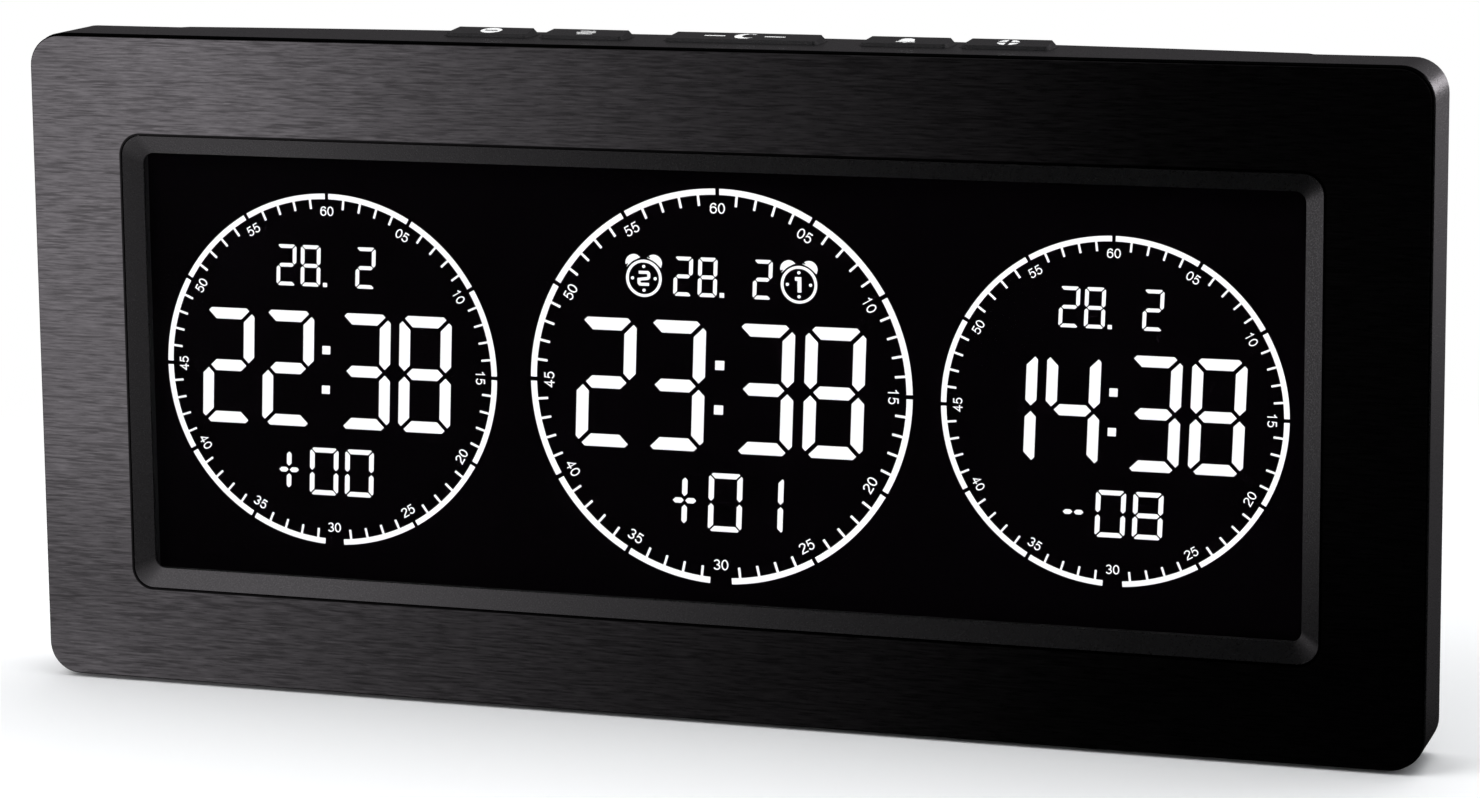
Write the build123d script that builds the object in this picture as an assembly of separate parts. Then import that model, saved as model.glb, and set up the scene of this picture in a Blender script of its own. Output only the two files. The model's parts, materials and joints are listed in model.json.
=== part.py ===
from build123d import *
from math import atan2, cos, degrees, radians, sin, sqrt, tan
import os

# World time clock with three round dials on one wide display.
# Sizes are in millimetres. X runs to the right, Y into the clock and Z up.
# While the pieces are built, Y is 0 on the face of the front plate and Z is 0 at mid height of the casing.

# Casing
width = 300.0                # whole clock, left to right
height = 140.0               # casing, without feet and buttons
depth = 28.0                 # front face to the fullest point of the curved back
end_depth = 19.8             # depth at the flat ends
bow_edge_depth = 21.2        # depth where the curved back begins
flat_end = 28.0              # flat back at each end, beside the curved back
bow_ramp = 1.5               # width of the small step beside the curved back
corner_radius = 7.0
wall = 2.2
back_edge_chamfer = 0.8
front_edge_chamfer = 0.3
overrun = 5.0                # how far every cutting body runs past the wall that it cuts
bite = 0.1                   # how far a post runs into the wall that carries it
small_sides = 8              # flats round a small piece that repeats
seen_sides = 12              # flats round a small piece that is seen
round_sides = 24             # flats round a battery cell and the power inlet
corner_flats = 3             # flats round the corner of a small piece
full_turn = 360.0            # degrees
quarter_turn = 90.0

# Front plate and its adhesive film
plate_thickness = 1.5
plate_inset = 0.3            # plate edge inside the casing edge
plate_chamfer = 0.25
adhesive_thickness = 0.2
adhesive_inset = 0.8         # film edge inside the plate edge

# Window and its sloping frame
side_border = 21.0           # plate beside the window
level_border_share = 0.1486  # plate above and below the window, share of the height
window_drop = 0.4            # centre of the window below the centre of the casing
window_corner = 4.5
plate_gap = 0.2              # between the plate and the sloping frame
slope_width = 3.8            # sloping frame, seen from the front
slope_depth = 2.3
slope_recess = 0.1           # outer edge of the slope behind the plate face
slope_lip = 0.4              # straight edge behind the slope

# Display stack
lens_thickness = 1.2
lens_overlap = 2.4           # lens beyond the window opening, each side
lens_clearance = 0.1
glass_thickness = 1.1
glass_overlap = 2.2          # display glass beyond the window opening, each side
glass_air = 0.2              # between the lens and the display glass
cell_gap = 0.2               # between the two glasses
ledge = 3.0                  # contact ledge of the rear glass, below the front glass
seal_width = 1.2
seal_inset = 0.6
film_air = 0.1               # each side of the light guide
guide_thickness = 2.0
led_board_thickness = 1.0
led_height = 1.0
led_width = 3.0
led_count = 12
led_row_share = 0.9          # LED row, share of the guide's width
holder_wall = 1.5
holder_back = 1.2
holder_clearance = 0.15      # between the display glass and its holder

# Dials on the display
left_dial_share = 0.4115     # radius, share of the room for the dials
middle_dial_share = 0.458
right_dial_share = 0.4027
dial_row_share = 0.3616      # room for the dials, share of the opening's width, if its height doesn't set it
middle_dial_x = 1.4
dial_margin = 3.2            # outer dials to the edge of the window opening
band_share = 0.035           # all shares below are of the dial's radius
hour_gap_share = 0.0225
foot_gap_share = 0.1
digit_height_share = 0.659
digit_width_share = 0.3105
bar_share = 0.073
bar_gap_share = 0.0085
bar_tip_share = 0.016
inner_digit_share = 0.232    # centres of the two inner digits
outer_digit_share = 0.598    # centres of the two outer digits
colon_size_share = 0.0495
colon_height_share = 0.113
digit_slant = 2.2            # degrees
hour_marks = 12
minute_marks = 60
foot_mark = 9                # the lowest hour mark, counted from the right

# Screws
screw_radius = 1.3
screw_play = 0.1
screw_length = 9.0
screw_head_radius = 2.7
screw_head_height = 1.6
slot_width = 0.7
slot_share = 1.2             # length of the driver slots, share of the head's radius
slot_depth = 0.7
small_screw_radius = 0.9
small_screw_length = 4.0
small_head_radius = 1.8
small_head_height = 1.1
small_slot_depth = 0.5
small_hole_radius = small_screw_radius + screw_play
small_hole_length = small_screw_length + screw_play

# Posts in the front housing
post_radius = 3.75
post_side = 12.0             # corner posts to the casing edge
post_drop = 11.0             # corner posts to the top and bottom edges
low_post_share = 0.25        # low posts off the middle, share of the width
low_post_drop = 10.5
post_screw_hole = 9.5
ear_post_radius = 3.0
ear_thickness = 2.0
ear_radius = 3.4
ear_post_depth = 2.0         # height of the short posts that carry the holder
ear_shares = (-0.32, 0, 0.32) # ears off the middle, shares of the width
ear_lift = 4.5               # ear centre beyond the holder's edge

# Rear cover
cover_thickness = 2.0
cover_gap = 0.15
counterbore_radius = 3.0
counterbore_depth = 2.2
boss_radius = 4.0
boss_floor = 1.3

# Stand
stand_width = 64.0
stand_thickness = 3.2
stand_hinge_drop = 32.38     # hinge axis below the middle of the battery bay
stand_tip_rise = 12.0        # tip above the casing's lower edge
stand_gap = 0.3              # round the stand in its pocket
stand_sink = 0.1             # outer face below the curved back
stand_corner = 6.0
stand_pin_radius = 0.8
stand_pin_play = 0.05
stand_pin_seat = 3.0         # length of pin in each pocket wall
pocket_wall = 1.5
pocket_side_wall = 3.6
stand_recess_depth = 0.8     # hollow in the inner face
stand_recess_width = 40.0
stand_recess_height = 12.0
stand_recess_share = 0.55    # its centre down the stand
rib_length = 32.0            # finger grooves near the tip
rib_width = 1.2
rib_depth = 0.4
rib_pitch = 2.4
rib_edge = 5.4               # first groove to the tip
rib_count = 3
scoop_radius = 11.0
scoop_reach = 4.5            # scoop below the tip of the stand
scoop_depth = 2.6

# Battery bay and door
cell_diameter = 10.5
cell_body_length = 43.3
cell_button_length = 1.2
cell_button_radius = 1.9
cell_count = 3
cell_gap_between = 0.5
cell_play = 0.15
bay_end_room = 3.0           # each end of the cells, for the contacts
bay_wall = 1.2
bay_centre_share = 0.117     # its middle above mid height, share of the height
contact_thickness = 0.4
contact_width = 7.0
contact_tab = 3.0
door_thickness = 1.6
door_overlap = 2.5           # door beyond the bay, each side
door_gap = 0.2
door_travel = 6.0            # at its end the tongues lie free and the door lifts off
door_stop_gap = 0.3
tongue_width = 0.9
tongue_thickness = 0.7
tongue_play = 0.1
tongue_length = 5.4
tongue_room = 0.25           # round a tongue where it lifts out of its groove
tongue_shares = (-0.3, 0.36) # centres of the tongues, share of the door's height
ledge_thickness = 1.7        # shoulder under the door
grip_count = 5
grip_width = 0.8
grip_length = 16.0
grip_depth = 0.4
grip_pitch = 2.0

# Keyhole for a wall screw
keyhole_lift = 27.62         # its round entry above the middle of the battery bay
keyhole_radius = 4.25
keyhole_slot_radius = 2.1
keyhole_rise = 7.5

# Buttons along the top: centre across the clock, width
button_row_x = 5.0
side_button_width = 19.0
snooze_button_width = 33.5
near_button_x = 34.8
far_button_x = 56.0
button_depth = 8.0
button_centre_y = 18.2
button_front_rise = 0.6      # top face above the casing, at the front
button_back_rise = 1.5       # and at the back
button_end_slope = 1.3       # ends lean in by this much
button_clearance = 0.15
button_flange = 0.8
button_flange_thickness = 1.0
button_flange_gap = 0.1
button_travel = 0.5
button_corner = 1.2
stem_size = 3.0

# Tact switches and their board
switch_size = 6.0
switch_height = 3.5
plunger_radius = 1.75
plunger_play = 0.1
plunger_rise = 0.7
plunger_pocket = 1.2
plunger_floor_gap = 0.1      # left under the plunger when it is pressed
board_thickness = 1.6
button_board_depth = 10.2
button_post_radius = 2.5

# Main board and what it carries
main_board_share = 0.14      # its left edge off the middle, share of the width
main_board_side = 20.0       # its right edge to the casing's side
main_board_rise = 20.0       # its lower edge above the casing's lower edge
main_board_top = 9.0
board_post_height = 2.0
board_post_radius = 2.6
board_post_inset = 4.0
chip_thickness = 1.6
controller_size = 14.0
controller_side = 26.0       # centre to the board's right edge
controller_z = -10.0
driver_size = 10.0
driver_side = 20.0           # centre to the board's left edge
driver_rise = 16.0           # centre above the board's lower edge
crystal_radius = 1.5
crystal_length = 6.0
crystal_side = 36.0          # centre to the board's right edge
crystal_z = 2.0
capacitor_radius = 3.15
capacitor_height = 5.5
capacitor_side = 12.0        # centre to the board's right edge
capacitor_rise = 24.0        # centre above the board's lower edge
buzzer_radius = 6.0
buzzer_height = 7.0
buzzer_hole_radius = 1.0
buzzer_hole_depth = 1.5
buzzer_side = 24.0           # centre to the board's left edge
buzzer_z = -8.0
slot_count = 5
slot_long = 12.0
slot_high = 1.3
slot_pitch = 3.0

# Power inlet
jack_side = 36.0             # centre to the board's right edge
jack_rise = 16.0             # centre above the board's lower edge
jack_width = 9.0
jack_collar_radius = 4.0
jack_collar_height = 2.4
jack_bore_radius = 3.1
jack_bore_depth = 9.0
jack_pin_radius = 1.0
jack_pin_short = 1.0         # pin tip behind the mouth
jack_pin_seat = 2.0
jack_hole_play = 0.3
jack_sink = 0.6              # mouth below the cover's surface

# Ribbons and leads
ribbon_thickness = 0.3
ribbon_side = 10.0           # its left edge to the board's left edge
ribbon_width = 32.0
ribbon_bend = 1.2
ribbon_play = 0.3            # beside the ribbon in the holder's notch
connector_end = 0.6          # socket beyond the ribbon, each side
ribbon_drop = 2.2            # below the holder's rear glass edge
connector_depth = 2.4
connector_height = 4.0
button_ribbon_width = 10.0
button_ribbon_thickness = 0.6
button_ribbon_side = 14.0    # its middle to the board's left edge
lead_radius = 0.6
lead_bend = 3.0
lead_sides = 6
lead_inset = 6.5             # solder joints to the main board's left edge
lead_zs = (7.0, 1.5)

# Feet
foot_length = 26.0
foot_width = 9.0
foot_height = 1.6
foot_corner = 3.0
foot_clearance = 0.1
foot_proud = 0.6
foot_side = 38.0             # middle of a foot to the casing's side
foot_y = 10.5

# Depths of the layers, worked out from the sizes above
housing_front = plate_thickness + adhesive_thickness
wall_back = housing_front + wall
lens_front = slope_recess + slope_depth + slope_lip
lens_back = lens_front + lens_thickness
glass_front = lens_back + glass_air
cell_front = glass_front + glass_thickness
cell_back = cell_front + cell_gap
glass_back = cell_back + glass_thickness
guide_front = glass_back + film_air
guide_back = guide_front + guide_thickness
holder_floor = guide_back + film_air
holder_rear = holder_floor + holder_back
board_front = holder_rear + board_post_height
board_back = board_front + board_thickness

# Widths and heights of the window, the glass and the holder
window_width = width - 2 * side_border
window_height = height * (1 - 2 * level_border_share)
frame_width = window_width - 2 * plate_gap
frame_height = window_height - 2 * plate_gap
opening_width = frame_width - 2 * slope_width
opening_height = frame_height - 2 * slope_width
frame_corner = window_corner - plate_gap
opening_corner = max(frame_corner - slope_width / 2, plate_gap)
glass_width = opening_width + 2 * glass_overlap
glass_height = opening_height + 2 * glass_overlap
glass_centre = -window_drop
rear_glass_height = glass_height + ledge
rear_glass_centre = glass_centre - ledge / 2
pocket_width = glass_width + 2 * holder_clearance
pocket_height = rear_glass_height + 2 * holder_clearance
holder_width = pocket_width + 2 * holder_wall
holder_height = pocket_height + 2 * holder_wall
holder_top = rear_glass_centre + holder_height / 2
holder_bottom = rear_glass_centre - holder_height / 2

# Dials, posts and feet
dial_room = min(opening_height, opening_width * dial_row_share)
left_dial_radius = dial_room * left_dial_share
middle_dial_radius = dial_room * middle_dial_share
right_dial_radius = dial_room * right_dial_share
low_post_x = width * low_post_share
ear_xs = [width * share for share in ear_shares]
foot_x = width / 2 - foot_side

# Places on the back, from the battery bay up and down
bay_centre_z = height * bay_centre_share
keyhole_z = bay_centre_z + keyhole_lift
stand_hinge_z = bay_centre_z - stand_hinge_drop
stand_length = stand_hinge_z + height / 2 - stand_tip_rise

# Places on the main board
main_board_left = width * main_board_share
main_board_right = width / 2 - main_board_side
main_board_bottom = main_board_rise - height / 2
controller_x = main_board_right - controller_side
driver_x = main_board_left + driver_side
driver_z = main_board_bottom + driver_rise
crystal_x = main_board_right - crystal_side
capacitor_x = main_board_right - capacitor_side
capacitor_z = main_board_bottom + capacitor_rise
buzzer_x = main_board_left + buzzer_side
jack_x = main_board_right - jack_side
jack_z = main_board_bottom + jack_rise
ribbon_left = main_board_left + ribbon_side
ribbon_right = ribbon_left + ribbon_width
button_ribbon_x = main_board_left + button_ribbon_side

# The curved back
bow_half = width / 2 - flat_end
bow_rise = depth - bow_edge_depth
bow_radius = (bow_half**2 + bow_rise**2) / (2 * bow_rise)
inner_half_width = width / 2 - wall
inner_half_height = height / 2 - wall


def surface(x):
    """Depth of the casing's back at a place across the clock."""
    if abs(x) <= bow_half:
        return depth - bow_radius + sqrt(bow_radius**2 - x**2)
    return end_depth


def slab(sketch, near, far):
    """A front-view outline given thickness from one depth to another."""
    return extrude(Plane.XZ.offset(-near) * sketch, amount=near - far)


def peg_outline(radius, sides=small_sides):
    """A small round piece, drawn with few flats because such pieces repeat."""
    return RegularPolygon(radius, sides)


def hole_outline(radius, sides=small_sides):
    """The hole round such a piece, its flats at the given radius."""
    return RegularPolygon(radius, sides, major_radius=False)


def soft_outline(across, high, radius):
    """A rectangle whose corners are cut by a few flats, for small pieces that repeat."""
    points = []
    for turn, (right, up) in enumerate(((1, 1), (-1, 1), (-1, -1), (1, -1))):
        for n in range(corner_flats + 1):
            angle = radians(quarter_turn * (turn + n / corner_flats))
            x = right * (across / 2 - radius) + radius * cos(angle)
            z = up * (high / 2 - radius) + radius * sin(angle)
            points.append((x, z))
    return make_face(Polyline(*points, close=True))


def peg(x, z, radius, near, far, sides=small_sides):
    return slab(Pos(x, z) * peg_outline(radius, sides), near, far)


def hole(x, z, radius, near, far, sides=small_sides):
    return slab(Pos(x, z) * hole_outline(radius, sides), near, far)


def block(x, z, across, high, near, far):
    return slab(Pos(x, z) * Rectangle(across, high), near, far)


def rounded(x, z, across, high, radius, near, far):
    return slab(Pos(x, z) * RectangleRounded(across, high, radius), near, far)


def upright_peg(x, y, radius, low, high):
    return extrude(Plane.XY.offset(low) * Pos(x, y) * peg_outline(radius), amount=high - low)


def upright_hole(x, y, radius, low, high):
    return extrude(Plane.XY.offset(low) * Pos(x, y) * hole_outline(radius), amount=high - low)


def upright_block(x, y, across, deep, low, high):
    return extrude(Plane.XY.offset(low) * Pos(x, y) * Rectangle(across, deep), amount=high - low)


def casing_body(front, back_shift):
    """The casing's plan between a depth and its curved back, as tall as the casing."""
    half = width / 2
    step = bow_half + bow_ramp
    edge = Line((-half, front), (half, front))
    edge += Line((half, front), (half, end_depth + back_shift))
    edge += Line((half, end_depth + back_shift), (step, end_depth + back_shift))
    edge += Line((step, end_depth + back_shift), (bow_half, bow_edge_depth + back_shift))
    right = (bow_half, bow_edge_depth + back_shift)
    left = (-bow_half, bow_edge_depth + back_shift)
    edge += ThreePointArc(right, (0, depth + back_shift), left)
    edge += Line((-bow_half, bow_edge_depth + back_shift), (-step, end_depth + back_shift))
    edge += Line((-step, end_depth + back_shift), (-half, end_depth + back_shift))
    edge += Line((-half, end_depth + back_shift), (-half, front))
    return extrude(Plane.XY.offset(-height / 2) * make_face(edge), amount=height)


def screw(x, z, seat, radius, length, head_radius, head_height, cut, turns, sides):
    """A screw driven towards the front, its head resting at the depth given as seat."""
    body = peg(x, z, radius, seat - length, seat)
    body += peg(x, z, head_radius, seat, seat + head_height, sides)
    for turned in turns:
        bar = Rot(0, 0, turned) * Rectangle(head_radius * slot_share, slot_width)
        body -= slab(Pos(x, z) * bar, seat + head_height - cut, seat + head_height + overrun)
    return body


def group(shapes):
    """Several separate pieces kept together under one node."""
    return Compound([solid for shape in shapes for solid in shape.solids()])


solids = {}


def keep(node, shape):
    solids[node] = shape


# Front plate and adhesive film
def front_plate():
    across = width - 2 * plate_inset
    high = height - 2 * plate_inset
    radius = corner_radius - plate_inset
    plate = rounded(0, 0, across, high, radius, 0, plate_thickness)
    face = plate.faces().sort_by(Axis.Y)[0]
    plate = chamfer(face.edges(), plate_chamfer)
    far = plate_thickness + overrun
    return plate - rounded(0, glass_centre, window_width, window_height, window_corner, -overrun, far)


def plate_adhesive():
    inset = plate_inset + adhesive_inset
    film = soft_outline(width - 2 * inset, height - 2 * inset, corner_radius - inset)
    grow = 2 * adhesive_inset
    window = Rectangle(window_width + grow, window_height + grow)
    return slab(film - Pos(0, glass_centre) * window, plate_thickness, housing_front)


keep("front_plate", front_plate())
keep("plate_adhesive", plate_adhesive())

# Buttons, named from left to right
button_names = ("minus", "set", "snooze", "alarm", "plus")
button_places = {
    "minus": (button_row_x - far_button_x, side_button_width),
    "set": (button_row_x - near_button_x, side_button_width),
    "snooze": (button_row_x, snooze_button_width),
    "alarm": (button_row_x + near_button_x, side_button_width),
    "plus": (button_row_x + far_button_x, side_button_width),
}
top = height / 2
flange_top = inner_half_height - button_flange_gap
flange_bottom = flange_top - button_flange_thickness
board_post_xs = (
    button_row_x - far_button_x - side_button_width / 2 - button_flange - button_post_radius - screw_play,
    button_row_x - (near_button_x - side_button_width / 2 + snooze_button_width / 2) / 2,
    button_row_x + (near_button_x - side_button_width / 2 + snooze_button_width / 2) / 2,
    button_row_x + far_button_x + side_button_width / 2 + button_flange + button_post_radius + screw_play,
)
plunger_top = flange_bottom - stem_size
switch_top = plunger_top - plunger_rise
button_board_top = switch_top - switch_height
button_board_bottom = button_board_top - board_thickness


def button(x, across):
    """A key with a sloping top, a flange under the casing's top wall and a stem for its switch."""
    plan = soft_outline(across, button_depth, button_corner)
    cap = extrude(Plane.XY.offset(flange_bottom) * Pos(x, button_centre_y) * plan, amount=top - flange_bottom)
    half = across / 2
    front = button_centre_y - button_depth / 2
    back = button_centre_y + button_depth / 2
    crown = extrude(
        Plane.XY.offset(top) * Pos(x, button_centre_y) * plan,
        amount=button_back_rise,
        taper=degrees(atan2(button_end_slope, button_back_rise)),
    )
    side = Polyline(
        (back + overrun, top),
        (back + overrun, top + button_back_rise),
        (back, top + button_back_rise),
        (front, top + button_front_rise),
        (front - overrun, top + button_front_rise),
        (front - overrun, top),
        close=True,
    )
    wedge = extrude(Plane.YZ.offset(x - half) * make_face(side), amount=across)
    flange_across = across + 2 * button_flange
    flange_deep = button_depth + 2 * button_flange
    flange = upright_block(x, button_centre_y, flange_across, flange_deep, flange_bottom, flange_top)
    stem = upright_block(x, button_centre_y, stem_size, stem_size, plunger_top, flange_bottom)
    return cap + (crown & wedge) + flange + stem


def plunger(x):
    low = switch_top - plunger_pocket + button_travel + plunger_floor_gap
    return upright_peg(x, button_centre_y, plunger_radius, low, plunger_top)


def switch_body(x):
    body = upright_block(x, button_centre_y, switch_size, switch_size, button_board_top, switch_top)
    floor = switch_top - plunger_pocket
    play_radius = plunger_radius + plunger_play
    return body - upright_hole(x, button_centre_y, play_radius, floor, switch_top + overrun)


for name in button_names:
    place, across = button_places[name]
    keep(name + "_button", button(place, across))
    keep(name + "_plunger", plunger(place))
keep("switch_bodies", group([switch_body(button_places[name][0]) for name in button_names]))


# Posts that the cover and the holder are screwed to
corner_post_x = width / 2 - post_side
corner_post_z = height / 2 - post_drop
cover_posts = [(side * corner_post_x, level * corner_post_z) for side in (-1, 1) for level in (-1, 1)]
cover_posts += [(side * low_post_x, low_post_drop - height / 2) for side in (-1, 1)]
ear_places = [(x, z) for x in ear_xs for z in (holder_top + ear_lift, holder_bottom - ear_lift)]
ear_near = wall_back + ear_post_depth
ear_far = ear_near + ear_thickness


def bezel():
    """The sloping frame round the window, on the front wall of the housing."""
    outer = RectangleRounded(frame_width, frame_height, frame_corner)
    inner = RectangleRounded(opening_width, opening_height, opening_corner)
    block_out = slab(Pos(0, glass_centre) * outer, slope_recess, wall_back)
    cone = loft(
        [
            Plane.XZ.offset(-slope_recess) * Pos(0, glass_centre) * outer,
            Plane.XZ.offset(-slope_recess - slope_depth) * Pos(0, glass_centre) * inner,
        ]
    )
    hole = slab(Pos(0, glass_centre) * inner, slope_recess + slope_depth, wall_back + overrun)
    return block_out - cone - hole


def front_housing():
    outline = rounded(0, 0, width, height, corner_radius, housing_front, depth + overrun)
    shell = casing_body(housing_front, 0) & outline
    front_edges = shell.faces().sort_by(Axis.Y)[0].edges()
    shell = chamfer(front_edges, front_edge_chamfer)
    back_edges = shell.edges().filter_by(lambda e: e.center().Y > end_depth - wall)
    back_edges = back_edges.filter_by(lambda e: not is_step_edge(e))
    shell = chamfer(back_edges, back_edge_chamfer)
    inside = soft_outline(2 * inner_half_width, 2 * inner_half_height, corner_radius - wall)
    shell -= slab(inside, wall_back, depth + overrun)
    shell -= rounded(0, glass_centre, frame_width, frame_height, frame_corner, 0, wall_back + overrun)
    shell += bezel()
    grow = 2 * (lens_overlap + lens_clearance)
    rebate = Rectangle(opening_width + grow, opening_height + grow)
    shell -= slab(Pos(0, glass_centre) * rebate, lens_front, wall_back + overrun)
    for x, z in cover_posts:
        foot = surface(x) - counterbore_depth - boss_floor
        shell += peg(x, z, post_radius, wall_back - bite, foot)
        shell -= hole(x, z, screw_radius + screw_play, foot - post_screw_hole, foot)
    for x, z in ear_places:
        shell += peg(x, z, ear_post_radius, wall_back - bite, ear_near)
        shell -= hole(x, z, small_hole_radius, ear_far - small_hole_length, ear_near)
    for x in board_post_xs:
        y = button_centre_y
        hole_end = button_board_bottom + small_hole_length
        shell += upright_peg(x, y, button_post_radius, button_board_top, inner_half_height + bite)
        shell -= upright_hole(x, y, small_hole_radius, button_board_top, hole_end)
    for name in button_names:
        place, across = button_places[name]
        play = 2 * button_clearance
        plan = soft_outline(across + play, button_depth + play, button_corner + button_clearance)
        level = Plane.XY.offset(inner_half_height - bite)
        shell -= extrude(level * Pos(place, button_centre_y) * plan, amount=wall + overrun)
    for side in (-1, 1):
        shell -= foot_shape(side, foot_clearance)
    return shell


def is_step_edge(edge):
    """True for the short upright edges of the small step beside the curved back."""
    ends = edge.position_at(1) - edge.position_at(0)
    return abs(ends.Z) > height / 2


def foot_shape(side, grow):
    low = -height / 2 - foot_proud
    plan = soft_outline(foot_length + 2 * grow, foot_width + 2 * grow, foot_corner + grow)
    return extrude(Plane.XY.offset(low) * Pos(side * foot_x, foot_y) * plan, amount=foot_height)


keep("front_housing", front_housing())
keep("foot_pads", group([foot_shape(side, 0) for side in (-1, 1)]))

# Display stack
lens_width = opening_width + 2 * lens_overlap
lens_height = opening_height + 2 * lens_overlap
keep("display_lens", block(0, glass_centre, lens_width, lens_height, lens_front, lens_back))
keep("lcd_front_glass", block(0, glass_centre, glass_width, glass_height, glass_front, cell_front))
keep("lcd_rear_glass", block(0, rear_glass_centre, glass_width, rear_glass_height, cell_back, glass_back))
seal_outer_width = glass_width - 2 * seal_inset
seal_outer_height = glass_height - 2 * seal_inset
seal = Rectangle(seal_outer_width, seal_outer_height)
seal -= Rectangle(seal_outer_width - 2 * seal_width, seal_outer_height - 2 * seal_width)
keep("lcd_seal", slab(Pos(0, glass_centre) * seal, cell_front, cell_back))

guide_height = rear_glass_height - led_board_thickness - led_height
guide_centre = rear_glass_centre - (led_board_thickness + led_height) / 2
keep("light_guide", block(0, guide_centre, glass_width, guide_height, guide_front, guide_back))
led_board_z = rear_glass_centre + rear_glass_height / 2 - led_board_thickness / 2
keep("backlight_board", block(0, led_board_z, glass_width, led_board_thickness, guide_front, guide_back))
led_pitch = glass_width * led_row_share / (led_count - 1)
led_row = [
    block(
        (n - (led_count - 1) / 2) * led_pitch,
        led_board_z - (led_board_thickness + led_height) / 2,
        led_width,
        led_height,
        guide_front,
        guide_back,
    )
    for n in range(led_count)
]
keep("backlight_leds", group(led_row))


# Lit segments between the two glasses
def lean(x, z):
    """Moves a point of a leaning digit sideways by its height."""
    return (x + z * tan(radians(digit_slant)), z)


def polygon(points):
    return make_face(Polyline(*points, close=True))


def bars(radius):
    """The seven bars of one digit of a dial, each as its outline about the digit's centre."""
    w = digit_width_share * radius / 2
    h = digit_height_share * radius / 2
    t = bar_share * radius
    g = bar_gap_share * radius
    c = bar_tip_share * radius
    half_level = [(w - g - 2 * c, h), (w - g - c, h - c), (w - t - g, h - t)]
    level = half_level + [(-x, z) for x, z in reversed(half_level)]
    half_middle = [(w - g - t, t / 2), (w - g - t / 2, 0), (w - g - t, -t / 2)]
    middle = half_middle + [(-x, z) for x, z in reversed(half_middle)]
    upright = [(w - c, h - g - c), (w, h - g - 2 * c), (w, t / 2 + g), (w - t / 2, g)]
    upright += [(w - t, t / 2 + g), (w - t, h - t - g)]
    return {
        "top": level,
        "bottom": [(x, -z) for x, z in level],
        "middle": middle,
        "upper_right": upright,
        "upper_left": [(-x, z) for x, z in upright],
        "lower_right": [(x, -z) for x, z in upright],
        "lower_left": [(-x, -z) for x, z in upright],
    }


digit_bars = {
    "1": ("upper_right", "lower_right"),
    "2": ("top", "upper_right", "middle", "lower_left", "bottom"),
    "3": ("top", "upper_right", "middle", "lower_right", "bottom"),
    "4": ("upper_left", "upper_right", "middle", "lower_right"),
    "8": ("top", "upper_left", "upper_right", "middle", "lower_left", "lower_right", "bottom"),
}


def time_bars(centre_x, radius, figures):
    """The four figures and the colon of one dial."""
    shapes = bars(radius)
    outlines = []
    places = (-outer_digit_share, -inner_digit_share, inner_digit_share, outer_digit_share)
    for figure, place in zip(figures, places):
        for bar in digit_bars[figure]:
            points = [lean(x, z) for x, z in shapes[bar]]
            outlines.append([(centre_x + place * radius + x, glass_centre + z) for x, z in points])
    half = colon_size_share * radius / 2
    for side in (-1, 1):
        low = side * colon_height_share * radius - half
        high = low + 2 * half
        corners = [lean(x, z) for x, z in ((-half, low), (half, low), (half, high), (-half, high))]
        outlines.append([(centre_x + x, glass_centre + z) for x, z in corners])
    return [slab(polygon(points), cell_front, cell_back) for points in outlines]


def half_gap(mark):
    """Half the angle, in radians, that the band leaves open at an hour mark."""
    share = foot_gap_share if mark % hour_marks == foot_mark else hour_gap_share
    return share / 2


def band_pieces(centre_x, radius):
    """The twelve pieces of a dial's band, with a corner at each minute."""
    inner = radius * (1 - band_share)
    minutes = minute_marks // hour_marks
    pieces = []
    for mark in range(hour_marks):
        angles = [radians(full_turn * (mark * minutes + n) / minute_marks) for n in range(minutes + 1)]
        angles[0] += half_gap(mark)
        angles[-1] -= half_gap(mark + 1)
        outside = [(radius * cos(a), radius * sin(a)) for a in angles]
        inside = [(inner * cos(a), inner * sin(a)) for a in reversed(angles)]
        points = [(centre_x + x, glass_centre + z) for x, z in outside + inside]
        pieces.append(slab(polygon(points), cell_front, cell_back))
    return pieces


left_dial_x = -opening_width / 2 + dial_margin + left_dial_radius
right_dial_x = opening_width / 2 - dial_margin - right_dial_radius
dials = (
    (left_dial_x, left_dial_radius, "2238"),
    (middle_dial_x, middle_dial_radius, "2338"),
    (right_dial_x, right_dial_radius, "1438"),
)
segments = []
for centre_x, radius, figures in dials:
    segments += band_pieces(centre_x, radius)
    segments += time_bars(centre_x, radius, figures)
keep("lit_segments", group(segments))


# Display holder
def display_holder():
    tray = block(0, rear_glass_centre, holder_width, holder_height, lens_back, holder_rear)
    tray -= block(0, rear_glass_centre, pocket_width, pocket_height, lens_back - overrun, holder_floor)
    for x, z in ear_places:
        edge = holder_top if z > 0 else holder_bottom
        neck = edge - holder_wall / 2 if z > 0 else edge + holder_wall / 2
        tray += peg(x, z, ear_radius, ear_near, ear_far)
        tray += block(x, (z + neck) / 2, 2 * ear_radius, abs(z - neck), ear_near, ear_far)
        tray -= hole(x, z, small_hole_radius, ear_near - overrun, ear_far + overrun)
    for x, z in board_post_places:
        tray += peg(x, z, board_post_radius, holder_rear - bite, board_front)
        tray -= hole(x, z, small_hole_radius, board_back - small_hole_length, board_front)
    notch_low = holder_bottom - overrun
    notch_high = holder_bottom + holder_wall + holder_clearance
    tray -= block(
        (ribbon_left + ribbon_right) / 2,
        (notch_low + notch_high) / 2,
        ribbon_right - ribbon_left + 2 * ribbon_play,
        notch_high - notch_low,
        lens_back - overrun,
        guide_back,
    )
    return tray


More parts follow.
